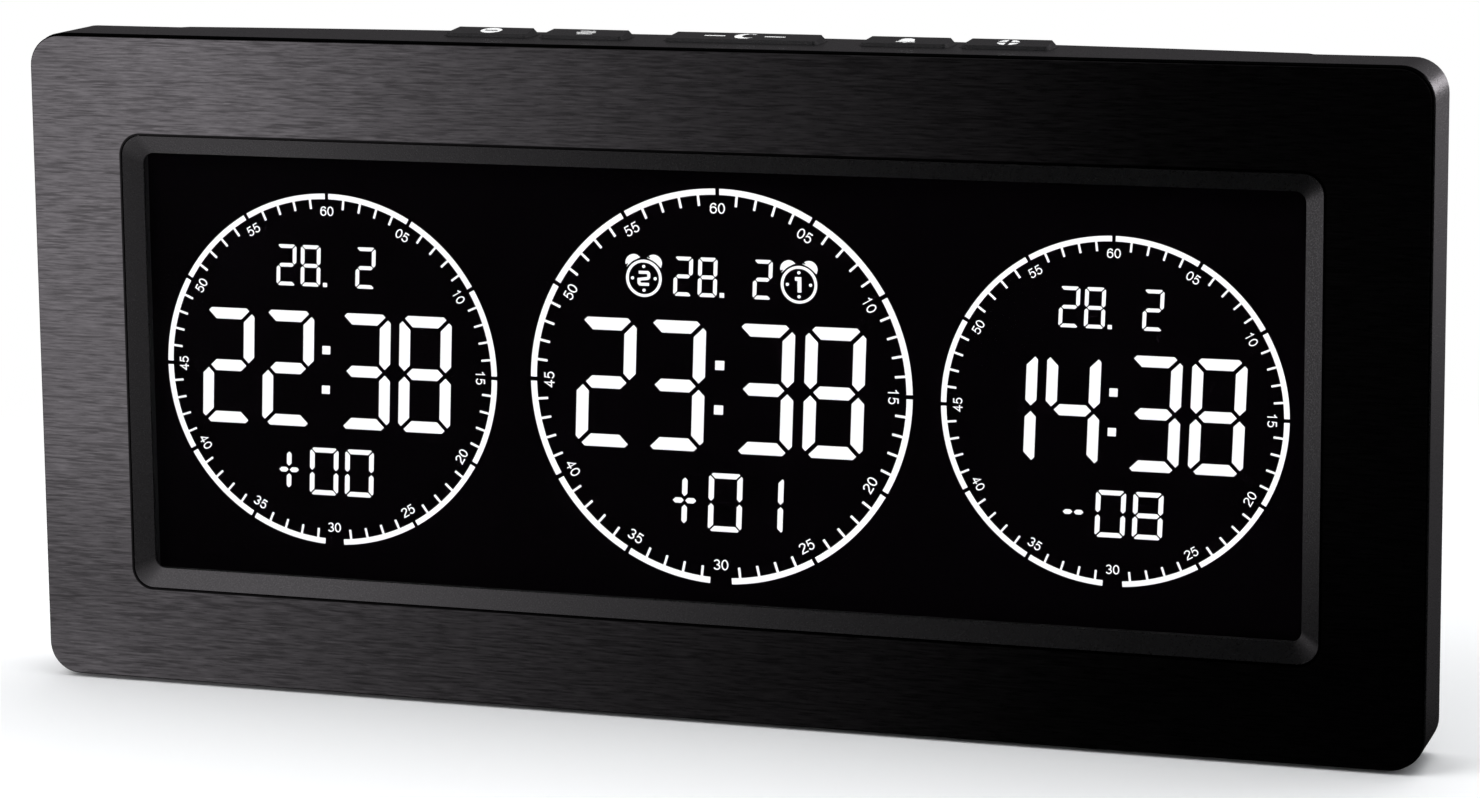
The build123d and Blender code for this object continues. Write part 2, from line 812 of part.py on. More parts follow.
board_post_places = [
    (x, z)
    for x in (main_board_left + board_post_inset, main_board_right - board_post_inset)
    for z in (main_board_bottom + board_post_inset, main_board_top - board_post_inset)
]
small_screw = (
    small_screw_radius,
    small_screw_length,
    small_head_radius,
    small_head_height,
    small_slot_depth,
    (0,),
    small_sides,
)
keep("display_holder", display_holder())
keep("holder_screws", group([screw(x, z, ear_far, *small_screw) for x, z in ear_places]))

# Main board and what it carries
main_board = block(
    (main_board_left + main_board_right) / 2,
    (main_board_bottom + main_board_top) / 2,
    main_board_right - main_board_left,
    main_board_top - main_board_bottom,
    board_front,
    board_back,
)
for x, z in board_post_places:
    main_board -= hole(x, z, small_hole_radius, board_front - overrun, board_back + overrun)
keep("main_board", main_board)
keep("main_board_screws", group([screw(x, z, board_back, *small_screw) for x, z in board_post_places]))
chip_back = board_back + chip_thickness
controller = block(controller_x, controller_z, controller_size, controller_size, board_back, chip_back)
keep("controller_chip", controller)
keep("driver_chip", block(driver_x, driver_z, driver_size, driver_size, board_back, chip_back))
crystal_start = crystal_x - crystal_length / 2
half_flat = full_turn / small_sides / 2
crystal = Pos(board_back + crystal_radius, crystal_z) * Rot(0, 0, half_flat) * hole_outline(crystal_radius)
keep("crystal", extrude(Plane.YZ.offset(crystal_start) * crystal, amount=crystal_length))
capacitor_top = board_back + capacitor_height
keep("capacitor", peg(capacitor_x, capacitor_z, capacitor_radius, board_back, capacitor_top, seen_sides))
buzzer_rear = board_back + buzzer_height
keep(
    "buzzer",
    peg(buzzer_x, buzzer_z, buzzer_radius, board_back, buzzer_rear, seen_sides)
    - hole(buzzer_x, buzzer_z, buzzer_hole_radius, buzzer_rear - buzzer_hole_depth, buzzer_rear + overrun),
)

# Power inlet
jack_mouth = surface(jack_x) - jack_sink
jack_shoulder = jack_mouth - jack_collar_height
jack_floor = jack_mouth - jack_bore_depth
jack = block(jack_x, jack_z, jack_width, jack_width, board_back, jack_shoulder)
jack += peg(jack_x, jack_z, jack_collar_radius, jack_shoulder, jack_mouth, round_sides)
jack -= hole(jack_x, jack_z, jack_bore_radius, jack_floor, jack_mouth + overrun, round_sides)
jack_pin_back = min(jack_pin_seat, (jack_floor - board_back) / 2)
jack -= peg(jack_x, jack_z, jack_pin_radius, jack_floor - jack_pin_back, jack_floor + overrun)
keep("dc_jack", jack)
jack_pin_tip = jack_mouth - jack_pin_short
keep("dc_jack_pin", peg(jack_x, jack_z, jack_pin_radius, jack_floor - jack_pin_back, jack_pin_tip))

# Button board with its ribbon
button_board_back = button_centre_y + switch_size / 2 + button_flange_gap
board_left = board_post_xs[0] - button_post_radius
board_right = board_post_xs[-1] + button_post_radius
button_board = upright_block(
    (board_left + board_right) / 2,
    button_board_back - button_board_depth / 2,
    board_right - board_left,
    button_board_depth,
    button_board_bottom,
    button_board_top,
)
for x in board_post_xs:
    hole_low = button_board_bottom - overrun
    button_board -= upright_hole(x, button_centre_y, small_hole_radius, hole_low, button_board_top + overrun)
keep("button_board", button_board)


def upright_screw(x):
    """A small screw driven upwards, its head under the button board."""
    low = button_board_bottom - small_head_height
    tip = button_board_bottom + small_screw_length
    body = upright_peg(x, button_centre_y, small_screw_radius, button_board_bottom, tip)
    body += upright_peg(x, button_centre_y, small_head_radius, low, button_board_bottom)
    long = small_head_radius * slot_share
    return body - upright_block(x, button_centre_y, long, slot_width, low - overrun, low + small_slot_depth)


keep("button_board_screws", group([upright_screw(x) for x in board_post_xs]))

ribbon_y = board_back + connector_depth / 2
upper_socket_low = button_board_bottom - connector_height
lower_socket_low = main_board_top - connector_height
button_ribbon = upright_block(
    button_ribbon_x, ribbon_y, button_ribbon_width, button_ribbon_thickness, main_board_top, upper_socket_low
)
keep("button_ribbon", button_ribbon)

# Display ribbon, from the glass ledge round the holder's edge to the main board
ledge_top = glass_centre - glass_height / 2 - holder_clearance
ribbon_low = holder_bottom - ribbon_drop
ribbon_far = board_back + connector_depth / 2
ribbon_end = main_board_bottom
half_ribbon = ribbon_thickness / 2
inner_bend = ribbon_bend - ribbon_thickness
outer_near = cell_back - ribbon_thickness
outer_far = ribbon_far + half_ribbon
inner_far = ribbon_far - half_ribbon
outer_low = ribbon_low - half_ribbon
inner_low = ribbon_low + half_ribbon
ribbon_face = polygon(
    [
        (outer_near, ledge_top),
        (outer_near, outer_low + ribbon_bend),
        (outer_near + ribbon_bend, outer_low),
        (outer_far - ribbon_bend, outer_low),
        (outer_far, outer_low + ribbon_bend),
        (outer_far, ribbon_end),
        (inner_far, ribbon_end),
        (inner_far, inner_low + inner_bend),
        (inner_far - inner_bend, inner_low),
        (cell_back + inner_bend, inner_low),
        (cell_back, inner_low + inner_bend),
        (cell_back, ledge_top),
    ]
)
keep(
    "display_ribbon",
    extrude(Plane.YZ.offset(ribbon_left) * ribbon_face, amount=ribbon_right - ribbon_left),
)

# Sockets that the two ribbons plug into
sockets = [
    block(
        (ribbon_left + ribbon_right) / 2,
        ribbon_end + connector_height / 2 + half_ribbon,
        ribbon_right - ribbon_left + 2 * connector_end,
        connector_height,
        board_back,
        board_back + connector_depth,
    ),
    block(
        button_ribbon_x,
        lower_socket_low + connector_height / 2,
        button_ribbon_width + 2 * connector_end,
        connector_height,
        board_back,
        board_back + connector_depth,
    ),
    upright_block(
        button_ribbon_x,
        ribbon_y,
        button_ribbon_width + 2 * connector_end,
        connector_depth,
        upper_socket_low,
        button_board_bottom,
    ),
]
keep("ribbon_sockets", group(sockets))

# Battery bay sizes
cell_length = cell_body_length + cell_button_length
bay_length = cell_length + 2 * bay_end_room
bay_height = cell_count * cell_diameter + (cell_count + 1) * cell_gap_between
door_width = bay_length + 2 * door_overlap
door_height = bay_height + 2 * door_overlap
recess_width = door_width + 2 * door_gap
door_seat = surface(door_width / 2 + tongue_width) - door_thickness - stand_sink - tongue_play
bay_floor = door_seat - cell_diameter - 2 * cell_play
bay_front = bay_floor - bay_wall
door_top = bay_centre_z + door_height / 2
door_bottom = bay_centre_z - door_height / 2
recess_top = door_top + door_gap
recess_bottom = door_bottom - door_travel - door_stop_gap
tongue_zs = [bay_centre_z + share * door_height for share in tongue_shares]
cell_y = door_seat - cell_play - cell_diameter / 2
cell_pitch = cell_diameter + cell_gap_between

# Stand pocket sizes
stand_back = surface(stand_width / 2) - stand_sink
stand_front = depth - stand_sink - stand_thickness
stand_axis_y = stand_front + stand_thickness / 2
pocket_floor = stand_front - stand_gap
stand_top = stand_hinge_z + stand_thickness / 2
stand_tip = stand_hinge_z - stand_length


def back_plate(near_shift, far_shift, inset):
    """A plate that follows the curved back, between two distances from it."""
    plate = casing_body(housing_front, far_shift) - casing_body(housing_front - overrun, near_shift)
    across = width - 2 * inset
    high = height - 2 * inset
    return plate & slab(soft_outline(across, high, corner_radius - inset), housing_front, depth + overrun)


def stand_pocket(grow):
    """The space that the folded stand lies in."""
    low = stand_tip - grow
    high = stand_hinge_z + stand_thickness / 2 + grow
    return block(0, (low + high) / 2, stand_width + 2 * grow, high - low, stand_front - grow, depth + overrun)


def keyhole():
    entry = Circle(keyhole_radius)
    slot = Pos(0, keyhole_rise / 2) * Rectangle(2 * keyhole_slot_radius, keyhole_rise)
    end = Pos(0, keyhole_rise) * Circle(keyhole_slot_radius)
    return slab(Pos(0, keyhole_z) * (entry + slot + end), depth - cover_thickness - overrun, depth + overrun)


def bay_block(grow, near, far, sink):
    low = bay_centre_z - bay_height / 2 - grow - sink
    high = bay_centre_z + bay_height / 2 + grow
    return block(0, (low + high) / 2, bay_length + 2 * grow, high - low, near, far)


def rear_cover():
    inset = wall + cover_gap
    cover = back_plate(-cover_thickness, 0, inset)
    # Tub of the battery bay, with the shoulder that the door rests on
    shoulder_grow = door_overlap + door_gap + tongue_width + tongue_play + bay_wall
    shoulder_low = recess_bottom - bay_wall
    shoulder_high = recess_top + bay_wall
    inside = casing_body(housing_front, -cover_thickness / 2)
    shoulder = block(
        0,
        (shoulder_low + shoulder_high) / 2,
        bay_length + 2 * shoulder_grow,
        shoulder_high - shoulder_low,
        door_seat - ledge_thickness,
        depth,
    )
    cover += shoulder & inside
    cover += bay_block(bay_wall, bay_front, door_seat - ledge_thickness, 0)
    cover -= bay_block(0, bay_floor, depth + overrun, 0)
    # Recess of the door, with a groove down each side
    recess_mid = (recess_bottom + recess_top) / 2
    recess_tall = recess_top - recess_bottom
    cover -= block(0, recess_mid, recess_width, recess_tall, door_seat, depth + overrun)
    groove_width = recess_width + 2 * (tongue_width + tongue_play - door_gap)
    groove_back = door_seat + tongue_thickness + 2 * tongue_play
    cover -= block(0, recess_mid, groove_width, recess_tall, door_seat, groove_back)
    for level in tongue_zs:
        cover -= block(
            0, level - door_travel, groove_width, tongue_length + 2 * tongue_room, door_seat, depth + overrun
        )
    # Tub of the stand's pocket
    tub_low = stand_tip - scoop_reach - pocket_wall
    tub_high = stand_top + stand_gap + pocket_wall
    tub = block(
        0,
        (tub_low + tub_high) / 2,
        stand_width + 2 * (stand_gap + pocket_side_wall),
        tub_high - tub_low,
        pocket_floor - pocket_wall,
        depth,
    )
    cover += tub & inside
    cover -= stand_pocket(stand_gap)
    scoop = Pos(0, stand_tip - scoop_reach + scoop_radius) * Circle(scoop_radius)
    cover -= slab(scoop, depth - scoop_depth, depth + overrun) & block(
        0, stand_tip - scoop_radius, 2 * scoop_radius, 2 * scoop_radius, depth - scoop_depth, depth + overrun
    )
    pin_half = stand_width / 2 + stand_gap + stand_pin_seat
    bore = Pos(0, stand_axis_y, stand_hinge_z) * Rot(0, 90, 0) * Cylinder(stand_pin_radius, 2 * pin_half)
    cover -= bore
    # Screw bosses
    for x, z in cover_posts:
        face = surface(x)
        cover += peg(x, z, boss_radius, face - counterbore_depth - boss_floor, face - cover_thickness / 2)
    for x, z in cover_posts:
        face = surface(x)
        cover -= hole(x, z, counterbore_radius, face - counterbore_depth, face + overrun, seen_sides)
        cover -= hole(x, z, screw_radius + screw_play, face - counterbore_depth - boss_floor - overrun, face)
    cover -= keyhole()
    jack_hole = jack_collar_radius + jack_hole_play
    cover -= hole(jack_x, jack_z, jack_hole, board_back, depth + overrun, round_sides)
    for n in range(slot_count):
        level = buzzer_z + (n - (slot_count - 1) / 2) * slot_pitch
        cover -= block(buzzer_x, level, slot_long, slot_high, board_back, depth + overrun)
    return cover


keep("rear_cover", rear_cover())
cover_screws = [
    screw(
        x,
        z,
        surface(x) - counterbore_depth,
        screw_radius,
        screw_length,
        screw_head_radius,
        screw_head_height,
        slot_depth,
        (0, 90),
        seen_sides,
    )
    for x, z in cover_posts
]
keep("cover_screws", group(cover_screws))


# Stand and its pin
def stand():
    leg = block(0, stand_hinge_z - stand_length / 2, stand_width, stand_length, stand_front, depth)
    lower = [e for e in leg.edges().filter_by(Axis.Y) if e.center().Z < stand_tip + stand_gap]
    leg = fillet(lower, stand_corner)
    knuckle = Pos(0, stand_axis_y, stand_hinge_z) * Rot(0, 90, 0) * Cylinder(stand_thickness / 2, stand_width)
    leg += knuckle
    leg &= casing_body(housing_front, -stand_sink)
    recess = Rectangle(stand_recess_width, stand_recess_height)
    recess_z = stand_hinge_z - stand_length * stand_recess_share
    leg -= slab(Pos(0, recess_z) * recess, stand_front - overrun, stand_front + stand_recess_depth)
    for n in range(rib_count):
        level = stand_tip + rib_edge + n * rib_pitch
        leg -= block(0, level, rib_length, rib_width, stand_back - rib_depth, depth + overrun)
    bore = Rot(0, 90, 0) * Cylinder(stand_pin_radius + stand_pin_play, width)
    return leg - Pos(0, stand_axis_y, stand_hinge_z) * bore


pin_length = stand_width + 2 * (stand_gap + stand_pin_seat)
stand_pin = Pos(0, stand_axis_y, stand_hinge_z) * Rot(0, 90, 0) * Cylinder(stand_pin_radius, pin_length)
keep("stand", stand())
keep("stand_pin", stand_pin)


# Battery door, cells and contacts
def battery_door():
    door = block(0, bay_centre_z, door_width, door_height, door_seat + tongue_play, depth)
    door &= casing_body(housing_front, -stand_sink)
    for level in tongue_zs:
        door += block(
            0,
            level,
            door_width + 2 * tongue_width,
            tongue_length,
            door_seat + tongue_play,
            door_seat + tongue_play + tongue_thickness,
        )
    for n in range(grip_count):
        level = door_bottom + door_overlap + n * grip_pitch
        door -= block(0, level, grip_length, grip_width, depth - stand_sink - grip_depth, depth + overrun)
    return door


keep("battery_door", battery_door())

cell_rows = [bay_centre_z + (n - (cell_count - 1) / 2) * cell_pitch for n in range(cell_count)]
cell_sides = [1 if n % 2 else -1 for n in range(cell_count)]
plate_x = bay_length / 2 - contact_thickness


def lying_peg(x_from, x_to, z, radius, sides):
    low, high = min(x_from, x_to), max(x_from, x_to)
    return extrude(Plane.YZ.offset(low) * Pos(cell_y, z) * RegularPolygon(radius, sides), amount=high - low)


def cell(z, side):
    tip = side * plate_x
    shoulder = side * (plate_x - cell_button_length)
    end = side * (plate_x - cell_length)
    body = lying_peg(shoulder, end, z, cell_diameter / 2, round_sides)
    return body + lying_peg(tip, shoulder, z, cell_button_radius, small_sides)


for name, z, side in zip(("lower_cell", "middle_cell", "upper_cell"), cell_rows, cell_sides):
    keep(name, cell(z, side))


def contact_plate(z, side):
    low = side * plate_x
    across = contact_thickness
    return Pos(low + side * across / 2, cell_y, z) * Box(across, cell_diameter - contact_tab, contact_width)


def contact_spring(z, side):
    """A bowed leaf between the end wall and the flat end of a cell, opposite its button."""
    wall_x = bay_length / 2
    reach = wall_x - (cell_length - plate_x)
    half = (cell_diameter - contact_tab) / 2
    t = contact_thickness
    points = [
        (wall_x, cell_y - half),
        (wall_x, cell_y + half),
        (wall_x - t, cell_y + half),
        (wall_x - t, cell_y - half + t),
        (wall_x - reach + t, cell_y - t),
        (wall_x - reach + t, cell_y + half / 2),
        (wall_x - reach, cell_y + half / 2),
        (wall_x - reach, cell_y - t),
        (wall_x - t, cell_y - half),
    ]
    leaf = extrude(Plane.XY.offset(z - contact_width / 2) * polygon(points), amount=contact_width)
    return leaf if side < 0 else mirror(leaf, Plane.YZ)


keep("contact_plates", group([contact_plate(z, side) for z, side in zip(cell_rows, cell_sides)]))
keep("contact_springs", group([contact_spring(z, side) for z, side in zip(cell_rows, cell_sides)]))


# Two leads from the bay to the main board
def lead(z):
    start = bay_length / 2 + bay_wall
    y = (bay_floor + door_seat) / 2 - bay_wall
    end = main_board_left + lead_inset
    bend = lead_bend / 2
    corners = ((end - lead_bend, y), (end - bend, y - bend / 2), (end, y - lead_bend), (end, board_back))
    line = Polyline((start, y, z), *[(x, level, z) for x, level in corners])
    face = Plane((start, y, z), z_dir=(1, 0, 0)) * RegularPolygon(lead_radius, lead_sides)
    return sweep(face, path=line, transition=Transition.RIGHT)


keep("battery_leads", group([lead(z) for z in lead_zs]))

# Everything goes to its place over the bottom centre of the clock
os.makedirs("parts", exist_ok=True)
place = Pos(0, -depth / 2, height / 2 + foot_proud)
for node, shape in solids.items():
    export_step(place * shape, "parts/" + node + ".step")
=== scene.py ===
import json
from math import acos, cos, degrees, hypot, radians, sin, tan

import bmesh
import bpy
from mathutils import Matrix, Vector


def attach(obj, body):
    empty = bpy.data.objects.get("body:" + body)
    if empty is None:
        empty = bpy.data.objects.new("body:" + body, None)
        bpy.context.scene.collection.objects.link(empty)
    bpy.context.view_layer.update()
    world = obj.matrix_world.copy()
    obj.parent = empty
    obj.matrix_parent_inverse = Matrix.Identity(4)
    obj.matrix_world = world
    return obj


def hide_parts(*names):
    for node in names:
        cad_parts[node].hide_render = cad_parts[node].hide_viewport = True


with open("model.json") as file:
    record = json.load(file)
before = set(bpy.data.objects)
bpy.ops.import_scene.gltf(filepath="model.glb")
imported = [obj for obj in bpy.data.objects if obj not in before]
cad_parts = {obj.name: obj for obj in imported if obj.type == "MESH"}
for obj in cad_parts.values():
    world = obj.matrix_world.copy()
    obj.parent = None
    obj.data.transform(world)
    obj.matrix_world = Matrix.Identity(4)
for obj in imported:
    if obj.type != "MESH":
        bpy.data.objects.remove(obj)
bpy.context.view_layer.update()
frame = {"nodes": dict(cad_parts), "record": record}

# The clock's own measures, in millimetres: x to the right, depth back from the plate's face,
# height above the middle of the casing
MM = 0.001
HALF_DEPTH = 14.0
MIDDLE_HEIGHT = 70.6
CELL_FRONT = 5.31
CELL_BACK = 5.49
# Each dial: its middle across and up, its radius, its time and its hours from the first dial, with
# how far the time and the hours stand beside its middle, in shares of its radius
DIALS = (
    ("left", -84.1, -0.9, 37.8, "2238", -0.028, "+00", -0.055),
    ("middle", 2.8, -0.5, 41.4, "2338", 0.0, "+01", 0.026),
    ("right", 85.9, -1.5, 35.7, "1438", -0.003, "-08", -0.014),
)


def at(x, depth, height):
    """A point of the clock in the frame's metres."""
    return Vector((x, depth - HALF_DEPTH, height + MIDDLE_HEIGHT)) * MM


# Meshes
def new_object(name, data):
    """An object in the scene, from a mesh, a lamp or a camera."""
    made = bpy.data.objects.new(name, data)
    bpy.context.scene.collection.objects.link(made)
    return made


def new_piece(name, bm, material, body):
    """Turns a bmesh into a piece that rides on a body."""
    bmesh.ops.recalc_face_normals(bm, faces=bm.faces)
    mesh = bpy.data.meshes.new(name)
    bm.to_mesh(mesh)
    bm.free()
    mesh.materials.append(material)
    piece = new_object(name, mesh)
    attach(piece, body)
    return piece


def add_prism(bm, outline, place, near, far):
    """A flat outline given a thickness. place turns (x, y, depth) of the outline into the frame."""
    front = [bm.verts.new(place(x, y, near)) for x, y in outline]
    back = [bm.verts.new(place(x, y, far)) for x, y in outline]
    bm.faces.new(front)
    bm.faces.new(list(reversed(back)))
    for n in range(len(outline)):
        m = (n + 1) % len(outline)
        bm.faces.new((front[m], front[n], back[n], back[m]))


# Flat outlines, as lists of (x, y); angles are in degrees
def moved(points, x, y):
    return [(x + u, y + v) for u, v in points]


def mirrored(points, across=1, up=1):
    """The outline turned over: across=-1 swaps left and right, up=-1 swaps top and bottom."""
    return [(across * x, up * y) for x, y in points]


def turned(points, angle):
    side = cos(radians(angle))
    rise = sin(radians(angle))
    return [(x * side - y * rise, x * rise + y * side) for x, y in points]


def rectangle(x, y, width, height):
    right = x + width / 2
    left = x - width / 2
    top = y + height / 2
    bottom = y - height / 2
    return [(left, bottom), (right, bottom), (right, top), (left, top)]


def bow(x, y, across, high, start, end, steps):
    """Points along part of an ellipse."""
    angles = [radians(start + (end - start) * n / steps) for n in range(steps + 1)]
    return [(x + across * cos(a), y + high * sin(a)) for a in angles]


def arc(x, y, radius, start, end, steps):
    return bow(x, y, radius, radius, start, end, steps)


def circle(x, y, radius, steps):
    return arc(x, y, radius, 0, 360, steps)[:-1]


def strip(outer, inner):
    """Joins an outer and an inner run of points into short closed outlines."""
    return [[outer[n], outer[n + 1], inner[n + 1], inner[n]] for n in range(len(outer) - 1)]


def stroke_parts(points, width):
    """A line of even width through points, as short closed outlines end to end."""
    sides = []
    for n, (x, y) in enumerate(points):
        before = points[max(n - 1, 0)]
        after = points[min(n + 1, len(points) - 1)]
        ways = []
        for start, end in ((before, (x, y)), ((x, y), after)):
            length = hypot(end[0] - start[0], end[1] - start[1])
            if length > 0:
                ways.append(((end[0] - start[0]) / length, (end[1] - start[1]) / length))
        along = (ways[0][0] + ways[-1][0], ways[0][1] + ways[-1][1])
        length = hypot(*along)
        reach = width / 2 / max(length / 2, 0.5)
        across = (-along[1] / length * reach, along[0] / length * reach)
        sides.append(((x + across[0], y + across[1]), (x - across[0], y - across[1])))
    return [[a[0], a[1], b[1], b[0]] for a, b in zip(sides, sides[1:])]


# Materials
def start_material(name):
    """A new material, its empty node tree and the place on the object that drives its patterns."""
    material = bpy.data.materials.new(name)
    material.use_nodes = True
    tree = material.node_tree
    tree.nodes.clear()
    place = tree.nodes.new("ShaderNodeTexCoord").outputs["Object"]
    return material, tree, place


def add(tree, kind, **values):
    """A node, with its properties or else its input values set by name."""
    node = tree.nodes.new(kind)
    for key, value in values.items():
        if hasattr(node, key):
            setattr(node, key, value)
        else:
            node.inputs[key.replace("_", " ")].default_value = value
    return node


def show(tree, shader, kind="ShaderNodeOutputMaterial"):
    out = tree.nodes.new(kind)
    tree.links.new(shader, out.inputs["Surface"])


def rgba(colour, factor=1.0):
    return tuple(min(c * factor, 1.0) for c in colour) + (1.0,)


def noise(tree, vector, scale, detail=3.0, rough=0.55):
    node = add(tree, "ShaderNodeTexNoise", Scale=scale, Detail=detail, Roughness=rough)
    tree.links.new(vector, node.inputs["Vector"])
    return node.outputs["Fac"]


def ranged(tree, value, low, high, new_low, new_high):
    node = tree.nodes.new("ShaderNodeMapRange")
    tree.links.new(value, node.inputs["Value"])
    for key, number in zip(("From Min", "From Max", "To Min", "To Max"), (low, high, new_low, new_high)):
        node.inputs[key].default_value = number
    return node.outputs["Result"]


def calculated(tree, operation, first, second):
    """One calculation on two values, each a socket or a number."""
    node = add(tree, "ShaderNodeMath", operation=operation)
    for socket, value in zip(node.inputs, (first, second)):
        if isinstance(value, (int, float)):
            socket.default_value = value
        else:
            tree.links.new(value, socket)
    return node.outputs["Value"]


def vector_step(tree, operation, first, second=None):
    """One vector operation; the second entry is a constant."""
    node = add(tree, "ShaderNodeVectorMath", operation=operation)
    tree.links.new(first, node.inputs[0])
    if second is not None:
        node.inputs[1].default_value = second
    return node.outputs["Value" if operation in ("LENGTH", "DISTANCE") else "Vector"]


def split(tree, vector):
    """The x, y and z of a vector."""
    parts = tree.nodes.new("ShaderNodeSeparateXYZ")
    tree.links.new(vector, parts.inputs["Vector"])
    return [parts.outputs[k] for k in "XYZ"]


def mixed(tree, factor, first, second):
    """A colour between two, each a socket or a colour."""
    node = add(tree, "ShaderNodeMix", data_type="RGBA")
    tree.links.new(factor, node.inputs[0])
    for socket, value in ((node.inputs[6], first), (node.inputs[7], second)):
        if isinstance(value, tuple):
            socket.default_value = value
        else:
            tree.links.new(value, socket)
    return node.outputs[2]


def blended(tree, factor, first, second):
    """A shader between two."""
    node = tree.nodes.new("ShaderNodeMixShader")
    for socket, value in zip(node.inputs, (factor, first, second)):
        tree.links.new(value, socket)
    return node.outputs["Shader"]


def relief(tree, height, shader, strength, depth):
    """Gives a shader a fine relief."""
    node = add(tree, "ShaderNodeBump", Strength=strength, Distance=depth)
    tree.links.new(height, node.inputs["Height"])
    tree.links.new(node.outputs["Normal"], shader.inputs["Normal"])


# Places on the clock that a finish and its painted shade follow, in metres
WINDOW_HALF_WIDTH = 0.129
WINDOW_HALF_HEIGHT = 0.0492
WINDOW_CORNER = 0.0045
WINDOW_CENTRE = 0.0702
GAP_SHADE_LINE = 0.00032
GAP_SHADE_FADE = 0.00016
PLATE_FACE_END = -0.01385
PLATE_EDGE_FADE = 0.00005
TOP_SHADE_BACK = -0.0112
TOP_SHADE_FADE = 0.0002
TOP_SHADE_LEVEL = 0.1375
TOP_SHADE_RISE = 0.0015
# The middle part of a noise's values, where most of them lie
NOISE_LOW = 0.3
NOISE_HIGH = 0.7
GRAIN_DEPTH = 0.00005
FLECK_SHARE = 0.35
# A streak's height as a share of its length
STREAK_SHARE = 0.065


def top_gap_shade(tree, place):
    """1 on the painted shade along the top of the housing, in the gap right behind the plate."""
    _, deep, up = split(tree, place)
    front = ranged(tree, deep, TOP_SHADE_BACK, TOP_SHADE_BACK + TOP_SHADE_FADE, 1.0, 0.0)
    high = ranged(tree, up, TOP_SHADE_LEVEL, TOP_SHADE_LEVEL + TOP_SHADE_RISE, 0.0, 1.0)
    return calculated(tree, "MULTIPLY", front, high)


def window_gap_shade(tree, place):
    """1 on a thin line of painted shade round the plate's window, 0 on the rest of the plate."""
    inner = (WINDOW_HALF_WIDTH - WINDOW_CORNER, 0.0, WINDOW_HALF_HEIGHT - WINDOW_CORNER)
    from_centre = vector_step(tree, "SUBTRACT", place, (0.0, 0.0, WINDOW_CENTRE))
    flat = vector_step(tree, "MULTIPLY", from_centre, (1.0, 0.0, 1.0))
    folded = vector_step(tree, "ABSOLUTE", flat)
    beyond = vector_step(tree, "SUBTRACT", folded, inner)
    away = vector_step(tree, "LENGTH", vector_step(tree, "MAXIMUM", beyond, (0.0, 0.0, 0.0)))
    line_end = WINDOW_CORNER + GAP_SHADE_LINE
    return ranged(tree, away, line_end, line_end + GAP_SHADE_FADE, 1.0, 0.0)


def surface(
    name,
    colour,
    rough=0.5,
    metal=0.0,
    specular=0.5,
    patch=60.0,
    tint=0.12,
    grain=1500.0,
    bump=0.15,
    rough_swing=0.08,
    alpha=1.0,
    gap_shade=False,
):
    """A solid finish: colour that varies a little, roughness that varies, and a fine relief."""
    material, tree, place = start_material(name)
    fine = noise(tree, place, grain)
    broad = noise(tree, place, patch)
    shader = add(tree, "ShaderNodeBsdfPrincipled", Metallic=metal, Alpha=alpha)
    shader.inputs["Specular IOR Level"].default_value = specular
    patches = ranged(tree, broad, NOISE_LOW, NOISE_HIGH, 0.0, 1.0)
    shade = mixed(tree, patches, rgba(colour, 1 - tint), rgba(colour, 1 + tint))
    flecks = ranged(tree, fine, NOISE_LOW, NOISE_HIGH, 0.0, FLECK_SHARE)
    shade = mixed(tree, flecks, shade, rgba(colour, 1 + 2 * tint))
    tree.links.new(shade, shader.inputs["Base Color"])
    polish = ranged(tree, fine, NOISE_LOW, NOISE_HIGH, rough - rough_swing, rough + rough_swing)
    tree.links.new(polish, shader.inputs["Roughness"])
    relief(tree, fine, shader, bump, GRAIN_DEPTH)
    finish = shader.outputs["BSDF"]
    # Painted shade: a dull dark strip along the top, in the gap right behind the plate
    if gap_shade:
        dark = add(tree, "ShaderNodeBsdfDiffuse", Color=rgba(colour, 0.3))
        finish = blended(tree, top_gap_shade(tree, place), finish, dark.outputs["BSDF"])
    show(tree, finish)
    return material


